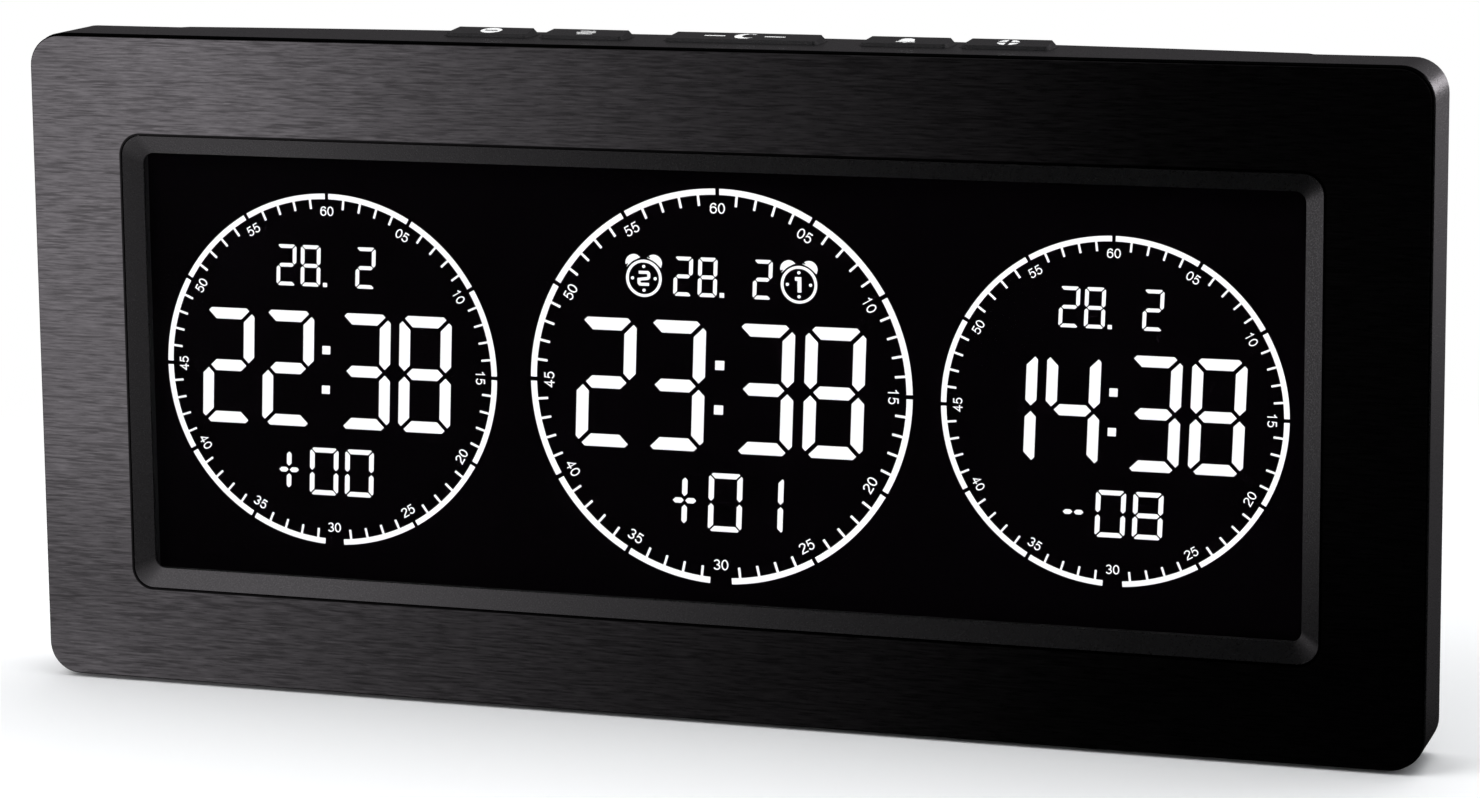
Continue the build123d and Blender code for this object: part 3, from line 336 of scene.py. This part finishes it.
def brushed(name, colour):
    """Dark brushed metal: short level streaks, lighter and darker, and a dark cut edge, partly painted
    shade.
    """
    material, tree, place = start_material(name)
    mapping = add(tree, "ShaderNodeMapping", Scale=(STREAK_SHARE, 1.0, 1.0))
    tree.links.new(place, mapping.inputs["Vector"])
    spread = mapping.outputs["Vector"]
    streaks = noise(tree, spread, 2500.0, 3.0, 0.6)
    hairs = noise(tree, spread, 4200.0, 2.0)
    scores = noise(tree, spread, 2100.0, 1.0)
    clouds = noise(tree, place, 28.0, 2.0)
    lightness = ranged(tree, streaks, 0.34, 0.66, 0.0, 1.0)
    shade = mixed(tree, lightness, rgba(colour, 0.62), rgba(colour, 1.38))
    # Each layer's noise, the values at which it starts and is full, its share there and its lightness
    for values, low, high, share, factor in (
        (hairs, 0.6, 0.75, 0.6, 1.9),
        (scores, 0.56, 0.66, 0.6, 0.4),
        (clouds, NOISE_LOW, NOISE_HIGH, 0.16, 0.55),
    ):
        shade = mixed(tree, ranged(tree, values, low, high, 0.0, share), shade, rgba(colour, factor))
    # The plate's cut edge is darkened: partly its own black edge, partly painted shade in the gap behind
    # it
    deep = split(tree, place)[1]
    cut = ranged(tree, deep, PLATE_FACE_END - PLATE_EDGE_FADE, PLATE_FACE_END, 0.0, 1.0)
    shade = mixed(tree, cut, shade, rgba(colour, 0.05))
    # A thin line of painted shade round the window, where the plate meets the window frame
    shade = mixed(tree, window_gap_shade(tree, place), shade, rgba(colour, 0.08))
    shader = add(tree, "ShaderNodeBsdfPrincipled", Metallic=1.0)
    shader.inputs["Specular Tint"].default_value = (0.02, 0.02, 0.02, 1.0)
    tree.links.new(shade, shader.inputs["Base Color"])
    polish = ranged(tree, streaks, NOISE_LOW, NOISE_HIGH, 0.25, 0.33)
    tree.links.new(polish, shader.inputs["Roughness"])
    relief(tree, streaks, shader, 0.35, 0.00002)
    show(tree, shader.outputs["BSDF"])
    return material


def lit(name, colour, strength):
    """Light that comes through a segment, a little uneven as the light guide leaves it."""
    material, tree, place = start_material(name)
    patches = ranged(tree, noise(tree, place, 25.0, 1.0), 0.35, 0.65, 0.0, 1.0)
    shade = mixed(tree, patches, rgba(colour, 0.96), rgba(colour))
    glow = add(tree, "ShaderNodeEmission", Strength=strength)
    tree.links.new(shade, glow.inputs["Color"])
    show(tree, glow.outputs["Emission"])
    return material


def clear(name, rough, specular, alpha):
    """A clear, slightly tinted sheet over a black display."""
    return surface(
        name,
        (0.002, 0.0016, 0.002),
        rough=rough,
        specular=specular,
        rough_swing=0.02,
        bump=0.02,
        tint=0.05,
        alpha=alpha,
    )


segment_light = lit("segment_white", (0.97, 0.98, 1.0), 1.3)
print_white = surface("print_light", (0.8, 0.8, 0.79), rough=0.5, specular=0.3, bump=0.05)
display_back = surface("display_back", (0.0015, 0.001, 0.0015), rough=0.6, specular=0.0, bump=0.05)
dark_ribbon = surface(
    "dark_ribbon", (0.004, 0.004, 0.004), rough=0.5, specular=0.1, grain=900.0, bump=0.04
)
rear_plastic = surface(
    "rear_plastic",
    (0.03, 0.03, 0.031),
    rough=0.42,
    specular=0.6,
    grain=1600.0,
    patch=45.0,
    tint=0.1,
    bump=0.22,
)
PLAIN_FINISHES = {
    # The housing gets painted shade along its top, in the gap right behind the plate
    "black_housing": dict(
        colour=(0.003, 0.003, 0.0032), rough=0.3, specular=1.0, grain=2600.0, bump=0.05, gap_shade=True
    ),
    "key_plastic": dict(colour=(0.010, 0.010, 0.0104), rough=0.32, specular=1.0, grain=2600.0, bump=0.1),
    "guide_acrylic": dict(colour=(0.78, 0.8, 0.82), rough=0.18, grain=700.0, bump=0.08),
    "white_plastic": dict(colour=(0.72, 0.72, 0.7), rough=0.45, grain=1800.0, bump=0.1),
    "board_green": dict(colour=(0.02, 0.13, 0.05), rough=0.32, grain=900.0, patch=220.0, tint=0.25),
    "chip_black": dict(colour=(0.022, 0.022, 0.023), rough=0.55, grain=3500.0, bump=0.2),
    "socket_white": dict(colour=(0.66, 0.65, 0.6), rough=0.5, grain=2200.0),
    "led_resin": dict(colour=(0.85, 0.84, 0.7), rough=0.12, grain=400.0, bump=0.03),
    "plunger_black": dict(colour=(0.03, 0.03, 0.03), rough=0.4, grain=2500.0),
    "ribbon_film": dict(colour=(0.5, 0.29, 0.06), rough=0.28, patch=150.0, grain=900.0, bump=0.04),
    "seal_epoxy": dict(colour=(0.03, 0.03, 0.03), rough=0.35, grain=900.0),
    "adhesive_black": dict(
        colour=(0.006, 0.006, 0.006), rough=0.9, specular=0.1, grain=4000.0, bump=0.4
    ),
    "plated_steel": dict(colour=(0.66, 0.64, 0.6), rough=0.2, metal=1.0, grain=2500.0, bump=0.06),
    "black_screw_steel": dict(colour=(0.16, 0.16, 0.165), rough=0.34, metal=1.0, grain=3000.0),
    "screw_steel": dict(colour=(0.55, 0.55, 0.54), rough=0.28, metal=1.0, grain=3000.0, bump=0.1),
    "capacitor_sleeve": dict(colour=(0.03, 0.05, 0.16), rough=0.22, grain=800.0, bump=0.05),
    "cell_wrap": dict(colour=(0.04, 0.2, 0.07), rough=0.25, metal=0.4, grain=900.0, patch=90.0),
    "lead_sleeve": dict(colour=(0.42, 0.02, 0.02), rough=0.45, grain=2500.0),
    "foot_rubber": dict(colour=(0.02, 0.02, 0.02), rough=0.8, grain=3500.0, bump=0.35),
}
SLOT_FINISHES = {name: surface(name, **look) for name, look in PLAIN_FINISHES.items()}
SLOT_FINISHES["dark_brushed_metal"] = brushed("dark_brushed_metal", (0.140, 0.138, 0.140))
SLOT_FINISHES["lens_plastic"] = clear("lens_plastic", rough=0.08, specular=0.04, alpha=0.05)
SLOT_FINISHES["display_glass"] = clear("display_glass", rough=0.1, specular=0.02, alpha=0.03)
SLOT_FINISHES["segment_white"] = segment_light
# Pieces that look different from the others of their slot
NODE_FINISHES = {
    "lcd_rear_glass": display_back,
    "display_ribbon": dark_ribbon,
    "rear_cover": rear_plastic,
    "stand": rear_plastic,
    "battery_door": rear_plastic,
}
for subpart in frame["record"]["subparts"]:
    node = frame["nodes"][subpart["node"]]
    finish = NODE_FINISHES.get(subpart["node"], SLOT_FINISHES[subpart["material_slot"]])
    node.data.materials.clear()
    node.data.materials.append(finish)


# Figures of seven bars, in shares of a dial's radius
SLANT = radians(2.2)
SEVEN = {
    "0": ("top", "upper_left", "upper_right", "lower_left", "lower_right", "bottom"),
    "1": ("upper_right", "lower_right"),
    "2": ("top", "upper_right", "middle", "lower_left", "bottom"),
    "3": ("top", "upper_right", "middle", "lower_right", "bottom"),
    "4": ("upper_left", "upper_right", "middle", "lower_right"),
    "8": ("top", "upper_left", "upper_right", "middle", "lower_left", "lower_right", "bottom"),
}


def leaning(points):
    return [(x + y * tan(SLANT), y) for x, y in points]


def seven_bars(half_width, half_height, bar, gap, tip):
    """The seven bars of a figure about its middle."""
    end = half_width - gap
    inside = end - bar
    half_level = [
        (end - 2 * tip, half_height),
        (end - tip, half_height - tip),
        (inside, half_height - bar),
    ]
    level = half_level + mirrored(half_level, across=-1)[::-1]
    half_middle = [(inside, bar / 2), (end - bar / 2, 0), (inside, -bar / 2)]
    middle = half_middle + mirrored(half_middle, across=-1)[::-1]
    upright = [
        (half_width - tip, half_height - gap - tip),
        (half_width, half_height - gap - 2 * tip),
        (half_width, bar / 2 + gap),
        (half_width - bar / 2, gap),
        (half_width - bar, bar / 2 + gap),
        (half_width - bar, half_height - bar - gap),
    ]
    return {
        "top": level,
        "bottom": mirrored(level, up=-1),
        "middle": middle,
        "upper_right": upright,
        "upper_left": mirrored(upright, across=-1),
        "lower_right": mirrored(upright, up=-1),
        "lower_left": mirrored(upright, across=-1, up=-1),
    }


def figure_outlines(figure, x, y, width, height, bar, gap, tip):
    shapes = seven_bars(width / 2, height / 2, bar, gap, tip)
    return [moved(leaning(shapes[name]), x, y) for name in SEVEN[figure]]


def sign_outlines(sign, x, y, width, height, bar):
    """A plus or minus made of short bars with pointed ends."""
    reach = width / 2 - bar
    gap = bar * 0.17
    tip = bar / 2
    near = gap + tip
    end = reach - tip
    level = [(gap, 0), (near, tip), (end, tip), (reach, 0), (end, -tip), (near, -tip)]
    bars = [level, mirrored(level, across=-1)]
    if sign == "+":
        far = height / 2 - bar * 1.2
        foot = 2 * gap + tip
        upright = [(0, foot), (tip, foot + tip), (tip, far - tip), (0, far)]
        upright += [(-tip, far - tip), (-tip, foot + tip)]
        bars += [upright, mirrored(upright, up=-1)]
    return [moved(leaning(points), x, y) for points in bars]


# Plain numerals one unit high, drawn as lines, and the step from one to the next
NUMERAL_PITCH = 0.78
NUMERALS = {
    "0": [bow(0, 0, 0.28, 0.44, 90, 450, 28)],
    "1": [[(-0.2, 0.24), (-0.06, 0.28), (0.06, 0.44), (0.06, -0.5)]],
    "2": [
        bow(0, 0.21, 0.27, 0.23, 170, -25, 12)
        + [(0.08, -0.05), (-0.16, -0.22), (-0.27, -0.44), (0.31, -0.44)]
    ],
    "3": [
        bow(-0.01, 0.22, 0.24, 0.22, 160, -90, 12),
        bow(-0.01, -0.22, 0.28, 0.22, 90, -160, 12),
    ],
    "4": [[(0.11, -0.5), (0.11, 0.44), (-0.29, -0.2), (0.33, -0.2)]],
    "5": [[(0.25, 0.44), (-0.16, 0.44), (-0.22, 0.02)] + bow(0, -0.15, 0.28, 0.29, 140, -155, 16)],
    "6": [bow(0.02, 0.0, 0.3, 0.44, 38, 180, 10), bow(0, -0.16, 0.28, 0.28, 180, 540, 24)],
}


def number_parts(text, size, width, angle, x, y):
    """A number's figures side by side, its middle at x, y, turned by an angle."""
    parts = []
    for n, numeral in enumerate(text):
        shift = (n - (len(text) - 1) / 2) * NUMERAL_PITCH
        for line in NUMERALS[numeral]:
            for part in stroke_parts(moved(line, shift, 0), width):
                sized = [(u * size, v * size) for u, v in part]
                parts.append(moved(turned(sized, angle), x, y))
    return parts


# The band of a dial, its minute ticks and its numerals
HOUR_MARKS = 12
MINUTE_MARKS = 60
FOOT_MARK = 9
HOUR_GAP = 0.0225
FOOT_GAP = 0.117
BAND = 0.0305
BAND_STEPS = 24
TICK_END = 0.916
TICK_WIDTH = 0.0115
NUMERAL_PLACE = 0.902
NUMERAL_HEIGHT = 0.054
NUMERAL_LINE = 0.108


def band_outlines():
    """The twelve pieces of a dial's band, with a wider gap at its foot."""
    outlines = []
    for mark in range(HOUR_MARKS):
        gap_before = FOOT_GAP if mark == FOOT_MARK else HOUR_GAP
        gap_after = FOOT_GAP if mark == FOOT_MARK - 1 else HOUR_GAP
        start = 360 / HOUR_MARKS * mark + degrees(gap_before / 2)
        end = 360 / HOUR_MARKS * (mark + 1) - degrees(gap_after / 2)
        outer = arc(0, 0, 1, start, end, BAND_STEPS)
        outlines += strip(outer, arc(0, 0, 1 - BAND, start, end, BAND_STEPS))
    return outlines


def minute_outlines():
    """Minute ticks and the numerals at every fifth minute, which stand upright in the lower part."""
    outlines = []
    tick_start = 1 - BAND
    half = TICK_WIDTH / 2
    tick = [(tick_start, -half), (tick_start, half), (TICK_END, half), (TICK_END, -half)]
    for minute in range(MINUTE_MARKS):
        angle = 90 - 360 * minute / MINUTE_MARKS
        if minute % 5:
            outlines.append(turned(tick, angle))
        else:
            text = f"{minute or MINUTE_MARKS:02d}"
            lean = angle + 90 if 20 <= minute <= 40 else angle - 90
            x = NUMERAL_PLACE * cos(radians(angle))
            y = NUMERAL_PLACE * sin(radians(angle))
            outlines += number_parts(text, NUMERAL_HEIGHT, NUMERAL_LINE, lean, x, y)
    return outlines


# The alarm signs beside the middle dial's date
ALARMS = ((-0.39, "2"), (0.42, "1"))
ALARM_LEVEL = 0.536
ALARM_RING = 0.094
ALARM_LINE = 0.0135
ALARM_DOT_PLACE = 0.06
ALARM_DOT = 0.008
BELL_LEAN = 34
BELL_REACH = 0.093
BELL_CAP = 0.044
BELL_CLEAR = 0.107
TWO_WIDTH = 0.0145
UPPER_TWO = [(-0.026, 0.03), (0.02, 0.03), (0.026, 0.024), (0.026, 0.006), (0.02, 0.0)]
ALARM_FIGURES = {
    "2": stroke_parts(UPPER_TWO + mirrored(UPPER_TWO[:-1], across=-1, up=-1)[::-1], TWO_WIDTH),
    "1": [rectangle(0.0025, 0, 0.019, 0.076), rectangle(-0.0135, 0.029, 0.013, 0.018)],
}


def corner_angle(beside, other, opposite):
    """The angle between two sides of a triangle, from its three sides."""
    return degrees(acos((beside**2 + other**2 - opposite**2) / (2 * beside * other)))


def bell_outline(x, y, side):
    """The cap of a bell, cut off by a circle about the middle of the alarm sign."""
    way = 90 - side * BELL_LEAN
    half = corner_angle(BELL_REACH, BELL_CLEAR, BELL_CAP)
    mouth = corner_angle(BELL_REACH, BELL_CAP, BELL_CLEAR)
    bell_x = x + BELL_REACH * cos(radians(way))
    bell_y = y + BELL_REACH * sin(radians(way))
    near = arc(x, y, BELL_CLEAR, way + half, way - half, 6)
    far = arc(bell_x, bell_y, BELL_CAP, way + 180 + mouth, way + 540 - mouth, 10)[1:-1]
    return near + far[::-1]


def alarm_outlines(x, figure):
    ring = arc(x, ALARM_LEVEL, ALARM_RING, 0, 360, 36)
    outlines = strip(ring, arc(x, ALARM_LEVEL, ALARM_RING - ALARM_LINE, 0, 360, 36))
    outlines += [bell_outline(x, ALARM_LEVEL, side) for side in (-1, 1)]
    for angle in (0, 90, 180, 270):
        dot_x = x + ALARM_DOT_PLACE * cos(radians(angle))
        dot_y = ALARM_LEVEL + ALARM_DOT_PLACE * sin(radians(angle))
        outlines.append(circle(dot_x, dot_y, ALARM_DOT, 10))
    return outlines + [moved(part, x, ALARM_LEVEL) for part in ALARM_FIGURES[figure]]


# Time, date and hours of a dial
TIME_HEIGHT = 0.659
TIME_WIDTH = 0.3105
TIME_BAR = 0.063
TIME_GAP = 0.0165
TIME_TIP = 0.016
TIME_PLACES = (-0.598, -0.232, 0.232, 0.598)
COLON_SIZE = 0.0465
COLON_LEVEL = 0.113
# A date's height, figure width, bar, level, the place of its dot, and its figures with their places
MIDDLE_DATE = (0.198, 0.099, 0.0185, 0.554, 0.019, (("2", -0.183), ("8", -0.055), ("2", 0.232)))
OUTER_DATE = (0.233, 0.118, 0.0205, 0.589, -0.022, (("2", -0.254), ("8", -0.107), ("2", 0.226)))
DOT_SIZE = 0.023
# Height and figure width of the hours
MIDDLE_HOURS = (0.297, 0.176)
OUTER_HOURS = (0.27, 0.172)
HOURS_BAR = 0.0265
HOURS_LEVEL = -0.583
HOURS_PITCH = 0.215


def time_outlines(time, shift):
    outlines = []
    for figure, place in zip(time, TIME_PLACES):
        outlines += figure_outlines(
            figure, shift + place, 0, TIME_WIDTH, TIME_HEIGHT, TIME_BAR, TIME_GAP, TIME_TIP
        )
    for side in (-1, 1):
        outlines.append(leaning(rectangle(shift, side * COLON_LEVEL, COLON_SIZE, COLON_SIZE)))
    return outlines


def date_outlines(height, width, bar, level, dot, places):
    outlines = []
    for figure, x in places:
        outlines += figure_outlines(figure, x, level, width, height, bar, bar / 4, bar / 4)
    foot = level - height / 2
    return outlines + [rectangle(dot, foot + DOT_SIZE / 2, DOT_SIZE, DOT_SIZE)]


def hours_outlines(hours, shift, height, width):
    outlines = []
    tip = HOURS_BAR / 4
    for n, figure in enumerate(hours):
        x = shift + (n - 1) * HOURS_PITCH
        if figure in "+-":
            outlines += sign_outlines(figure, x, HOURS_LEVEL, width, height, HOURS_BAR)
        else:
            outlines += figure_outlines(figure, x, HOURS_LEVEL, width, height, HOURS_BAR, tip, tip)
    return outlines


def dial_outlines(name, time, time_shift, hours, hours_shift):
    """Everything lit on one dial, in shares of its radius about its centre."""
    in_middle = name == "middle"
    outlines = band_outlines() + minute_outlines() + time_outlines(time, time_shift)
    outlines += date_outlines(*(MIDDLE_DATE if in_middle else OUTER_DATE))
    outlines += hours_outlines(hours, hours_shift, *(MIDDLE_HOURS if in_middle else OUTER_HOURS))
    if in_middle:
        for x, figure in ALARMS:
            outlines += alarm_outlines(x, figure)
    return outlines


def dial_segments():
    """The lit segments of all three dials, in the gap between the two glasses."""
    bm = bmesh.new()
    for name, middle_x, middle_height, radius, *shown in DIALS:
        for outline in dial_outlines(name, *shown):
            add_prism(
                bm,
                outline,
                lambda x, y, depth: at(middle_x + x * radius, depth, middle_height + y * radius),
                CELL_FRONT,
                CELL_BACK,
            )
    piece = new_piece("dial_segments", bm, segment_light, "casing")
    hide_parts("lit_segments")


dial_segments()

# Printed signs on the keys, in millimetres about the middle of a key's top
SIGN_THICKNESS = 0.02
DISC = 2.3
DISC_CUT = 0.45
DISC_REACH = 1.4
DISC_EDGE = 11
LINE_PITCH = 1.3
LINE_LENGTH = 4.2
LINE_TAPER = 0.9
LINE_WIDTH = 0.5
MOON = 2.2
MOON_SHADE = 1.75
DASH_PLACE = 6.5
DASH_LENGTH = 4.5
DASH_WIDTH = 0.55


def minus_sign():
    """A disc with a level bar left out of it, up to a short rim at each end."""
    upper = arc(0, 0, DISC, DISC_EDGE, 180 - DISC_EDGE, 24)
    half = strip(upper, [(x * 0.99, DISC_CUT) for x, _ in upper])
    edge = DISC * cos(radians(DISC_EDGE))
    rim = [(-edge, -DISC_CUT), (-DISC_REACH, -DISC_CUT), (-DISC_REACH, DISC_CUT), (-edge, DISC_CUT)]
    return half + [mirrored(part, up=-1) for part in half] + [rim, mirrored(rim, across=-1)]


def plus_sign():
    """The four quarters of a disc round a plus."""
    corner = [(DISC_CUT, DISC_CUT), (DISC_REACH, DISC_CUT)]
    corner += arc(0, 0, DISC, DISC_EDGE, 90 - DISC_EDGE, 8)
    corner.append((DISC_CUT, DISC_REACH))
    return [turned(corner, angle) for angle in (0, 90, 180, 270)]


def lines_sign():
    """Three level lines, the middle one the longest."""
    lines = ((n * LINE_PITCH, LINE_LENGTH - LINE_TAPER * abs(n)) for n in (-1, 0, 1))
    return [rectangle(0, height, length, LINE_WIDTH) for height, length in lines]


def moon_sign():
    """A crescent with a dash on each side."""
    moon = strip(arc(0, 0, MOON, 50, 300, 16), arc(MOON / 2, 0.35, MOON_SHADE, 50, 300, 16))
    return moon + [rectangle(side * DASH_PLACE, 0, DASH_LENGTH, DASH_WIDTH) for side in (-1, 1)]


def bell_sign():
    """A bell's dome over its rim and its clapper."""
    dome = arc(0, 0.1, 1.5, 0, 180, 12) + [(-1.7, -1.1), (1.7, -1.1)]
    return [dome, rectangle(0, -1.6, 4.0, 0.45), rectangle(0, -2.15, 0.8, 0.4)]


def key_top(node):
    """The plane of a key's sloping top: its middle and the direction towards the back."""
    mesh = frame["nodes"][node].data
    top_reach = 0.0015
    edge_reach = 0.0002
    highest = max(v.co.z for v in mesh.vertices)
    corners = [mesh.vertices[v].co for p in mesh.polygons if p.normal.z > 0.9 for v in p.vertices]
    points = [corner for corner in corners if corner.z > highest - top_reach]
    front = min(p.y for p in points)
    back = max(p.y for p in points)
    front_z = max(p.z for p in points if p.y < front + edge_reach)
    back_z = max(p.z for p in points if p.y > back - edge_reach)
    middle_x = (min(p.x for p in points) + max(p.x for p in points)) / 2
    middle = Vector((middle_x, (front + back) / 2, (front_z + back_z) / 2))
    back_way = Vector((0, back - front, back_z - front_z)).normalized()
    return middle, back_way


def key_signs():
    """A thin printed sign on the top of each key."""
    signs = {
        "minus": minus_sign(),
        "set": lines_sign(),
        "snooze": moon_sign(),
        "alarm": bell_sign(),
        "plus": plus_sign(),
    }
    right_way = Vector((1, 0, 0))
    for key, outlines in signs.items():
        middle, back_way = key_top(key + "_button")
        up_way = right_way.cross(back_way)
        bm = bmesh.new()
        for outline in outlines:
            add_prism(
                bm,
                outline,
                lambda x, y, depth: middle + (right_way * x + back_way * y - up_way * depth) * MM,
                -SIGN_THICKNESS,
                SIGN_THICKNESS,
            )
        new_piece(key + "_sign", bm, print_white, key + "_key")


key_signs()


# Floor and light tent
def stage_mesh(name, corners, faces, material):
    """A mesh round the clock that isn't part of it."""
    mesh = bpy.data.meshes.new(name)
    mesh.from_pydata(corners, [], faces)
    mesh.materials.append(material)
    sheet = new_object(name, mesh)
    return sheet


FLOOR_HALF = 6
FLOOR_SHADOW_END = 0.15
FLOOR_WHITE_START = 0.4


def floor_material():
    """Pale paper that keeps the shadow near the clock and is plain white far from it."""
    material, tree, place = start_material("pale_floor")
    shader = add(tree, "ShaderNodeBsdfPrincipled", Roughness=0.9)
    shader.inputs["Specular IOR Level"].default_value = 0.1
    shade = mixed(tree, noise(tree, place, 3.0, 2.0), (0.93, 0.93, 0.93, 1.0), (0.95, 0.95, 0.95, 1.0))
    tree.links.new(shade, shader.inputs["Base Color"])
    white = add(tree, "ShaderNodeEmission", Strength=1.0)
    away = vector_step(tree, "LENGTH", place)
    share = ranged(tree, away, FLOOR_SHADOW_END, FLOOR_WHITE_START, 0.0, 1.0)
    path = tree.nodes.new("ShaderNodeLightPath")
    seen = calculated(tree, "MULTIPLY", path.outputs["Is Camera Ray"], share)
    show(tree, blended(tree, seen, shader.outputs["BSDF"], white.outputs["Emission"]))
    return material


floor_corners = [(x * FLOOR_HALF, y * FLOOR_HALF, 0) for x, y in ((-1, -1), (1, -1), (1, 1), (-1, 1))]
stage_mesh("floor", floor_corners, [(0, 1, 2, 3)], floor_material())

TENT_LOW = (-0.9, -0.12, 0.0004)
TENT_HIGH = (0.9, 0.30, 0.8)
# Grey levels of the tent by place, in metres: its front wall from left to right and upwards, its
# floor from the front wall to the clock, and its back wall from left to right
FRONT_LEVELS = (
    (-0.40, 0.25),
    (-0.30, 0.4),
    (-0.25, 1.0),
    (-0.155, 1.0),
    (-0.132, 0.69),
    (-0.106, 0.50),
    (-0.082, 0.34),
    (-0.057, 0.22),
    (-0.033, 0.14),
    (-0.007, 0.085),
    (0.018, 0.05),
    (0.043, 0.022),
    (0.067, 0.006),
    (0.30, 0.0),
)
RISE_LEVELS = (
    (0.0, 0.40),
    (0.01, 0.62),
    (0.03, 0.95),
    (0.05, 1.06),
    (0.24, 1.0),
    (0.34, 0.2),
    (0.4, 0.2),
)
NEAR_LEVELS = ((-0.12, 0.3), (-0.08, 0.32), (-0.05, 0.6), (0.0, 0.8))
BACK_LEVELS = ((-0.5, 0.09), (0.12, 0.09), (0.22, 0.3), (0.6, 0.3))
BACK_FOOT = 0.28
BACK_FOOT_HEIGHT = 0.1
# Where the front wall's levels start to give way to the back wall's, and where they have done so
BACK_START = -0.01
BACK_FULL = 0.05
# Up to here a place is on the tent's floor
TENT_FLOOR = 0.001
# A bright patch on the back wall, mirrored by the casing's rounded corner at the top right
PATCH_PLACE = (0.262, 0.3, 0.17)
PATCH_REACH = 0.045
PATCH_LEVEL = 5.0
TENT_COLOUR = (1.0, 0.945, 1.0, 1.0)


def graded(tree, value, stops):
    """A grey level read off a run of (place, level) stops."""
    low = stops[0][0]
    high = stops[-1][0]
    ramp = tree.nodes.new("ShaderNodeValToRGB")
    tree.links.new(ranged(tree, value, low, high, 0.0, 1.0), ramp.inputs["Fac"])
    elements = ramp.color_ramp.elements
    for place, _ in stops[1:-1]:
        elements.new((place - low) / (high - low))
    for element, (_, level) in zip(elements, stops):
        element.color = (level, level, level, 1.0)
    return ramp.outputs["Color"]


def tent_material():
    """The walls of a light tent, which only mirrored rays see: pale on the left, dark to the right."""
    material, tree, place = start_material("light_tent")
    across, deep, up = split(tree, place)
    on_floor = ranged(tree, up, TENT_FLOOR, 2 * TENT_FLOOR, 1.0, 0.0)
    floor_level = calculated(tree, "MULTIPLY", graded(tree, deep, NEAR_LEVELS), on_floor)
    rise = calculated(tree, "MAXIMUM", graded(tree, up, RISE_LEVELS), floor_level)
    front = calculated(tree, "MULTIPLY", graded(tree, across, FRONT_LEVELS), rise)
    back_rise = ranged(tree, up, 0.0, BACK_FOOT_HEIGHT, BACK_FOOT, 1.0)
    back = calculated(tree, "MULTIPLY", graded(tree, across, BACK_LEVELS), back_rise)
    away = vector_step(tree, "DISTANCE", place, PATCH_PLACE)
    patch = ranged(tree, away, PATCH_REACH / 2, PATCH_REACH, PATCH_LEVEL, 0.0)
    back = calculated(tree, "ADD", back, patch)
    behind = ranged(tree, deep, BACK_START, BACK_FULL, 0.0, 1.0)
    before = calculated(tree, "SUBTRACT", 1.0, behind)
    front_share = calculated(tree, "MULTIPLY", front, before)
    back_share = calculated(tree, "MULTIPLY", back, behind)
    level = calculated(tree, "ADD", front_share, back_share)
    glow = add(tree, "ShaderNodeEmission", Color=TENT_COLOUR)
    tree.links.new(level, glow.inputs["Strength"])
    show(tree, glow.outputs["Emission"])
    return material


def light_tent():
    """A box round the clock. The bits of a corner's number say which end of each side it is at."""
    corners = [[(TENT_LOW, TENT_HIGH)[n >> k & 1][k] for k in range(3)] for n in range(8)]
    walls = [(0, 1, 3, 2), (4, 6, 7, 5), (0, 4, 5, 1), (2, 3, 7, 6), (0, 2, 6, 4), (1, 5, 7, 3)]
    tent = stage_mesh("light_tent", corners, walls, tent_material())
    tent.visible_camera = False
    tent.visible_diffuse = False
    tent.visible_transmission = False
    tent.visible_shadow = False


light_tent()


# Lamps and world
def area_light(name, location, target, size, power):
    lamp = bpy.data.lights.new(name, "AREA")
    lamp.size = size
    lamp.energy = power
    holder = new_object(name, lamp)
    holder.location = location
    aim = (Vector(target) - Vector(location)).normalized()
    holder.rotation_euler = aim.to_track_quat("-Z", "Y").to_euler()
    holder.visible_glossy = False


CLOCK_MIDDLE = (0, 0, 0.07)
area_light("key_light", (-0.9, -0.9, 1.3), CLOCK_MIDDLE, size=1.0, power=14.0)
area_light("top_light", (0.2, 0.3, 1.5), CLOCK_MIDDLE, size=1.2, power=12.0)


def make_world():
    """Soft light all round, and plain white where the camera or a mirrored or passing ray sees it."""
    world = bpy.data.worlds.new("studio")
    bpy.context.scene.world = world
    world.use_nodes = True
    tree = world.node_tree
    tree.nodes.clear()
    rays = tree.nodes.new("ShaderNodeLightPath").outputs
    seen = calculated(tree, "MAXIMUM", rays["Is Camera Ray"], rays["Is Glossy Ray"])
    seen = calculated(tree, "MAXIMUM", seen, rays["Is Transmission Ray"])
    soft = add(tree, "ShaderNodeBackground", Color=(0.95, 0.97, 1.0, 1.0), Strength=0.6)
    white = add(tree, "ShaderNodeBackground", Color=(1.0, 1.0, 1.0, 1.0))
    sky = blended(tree, seen, soft.outputs["Background"], white.outputs["Background"])
    show(tree, sky, "ShaderNodeOutputWorld")


make_world()

# Camera: its place in metres, how it turns to the left, tilts up and rolls, in degrees, and its lens
CAMERA_PLACE = (0.2786, -0.837, 0.23)
CAMERA_TURN = 18.119
CAMERA_TILT = -8.955
CAMERA_ROLL = -0.52
camera_data = bpy.data.cameras.new("camera")
camera_data.lens = 104.71
camera_data.shift_y = -0.08
camera_data.sensor_width = 36.0
camera_data.sensor_fit = "HORIZONTAL"
camera = new_object("camera", camera_data)
turn = Matrix.Rotation(radians(CAMERA_TURN), 4, "Z")
tilt = Matrix.Rotation(radians(90 + CAMERA_TILT), 4, "X")
roll = Matrix.Rotation(radians(CAMERA_ROLL), 4, "Z")
camera.matrix_world = Matrix.Translation(CAMERA_PLACE) @ turn @ tilt @ roll
bpy.context.scene.camera = camera
bpy.context.scene.view_settings.view_transform = "Standard"
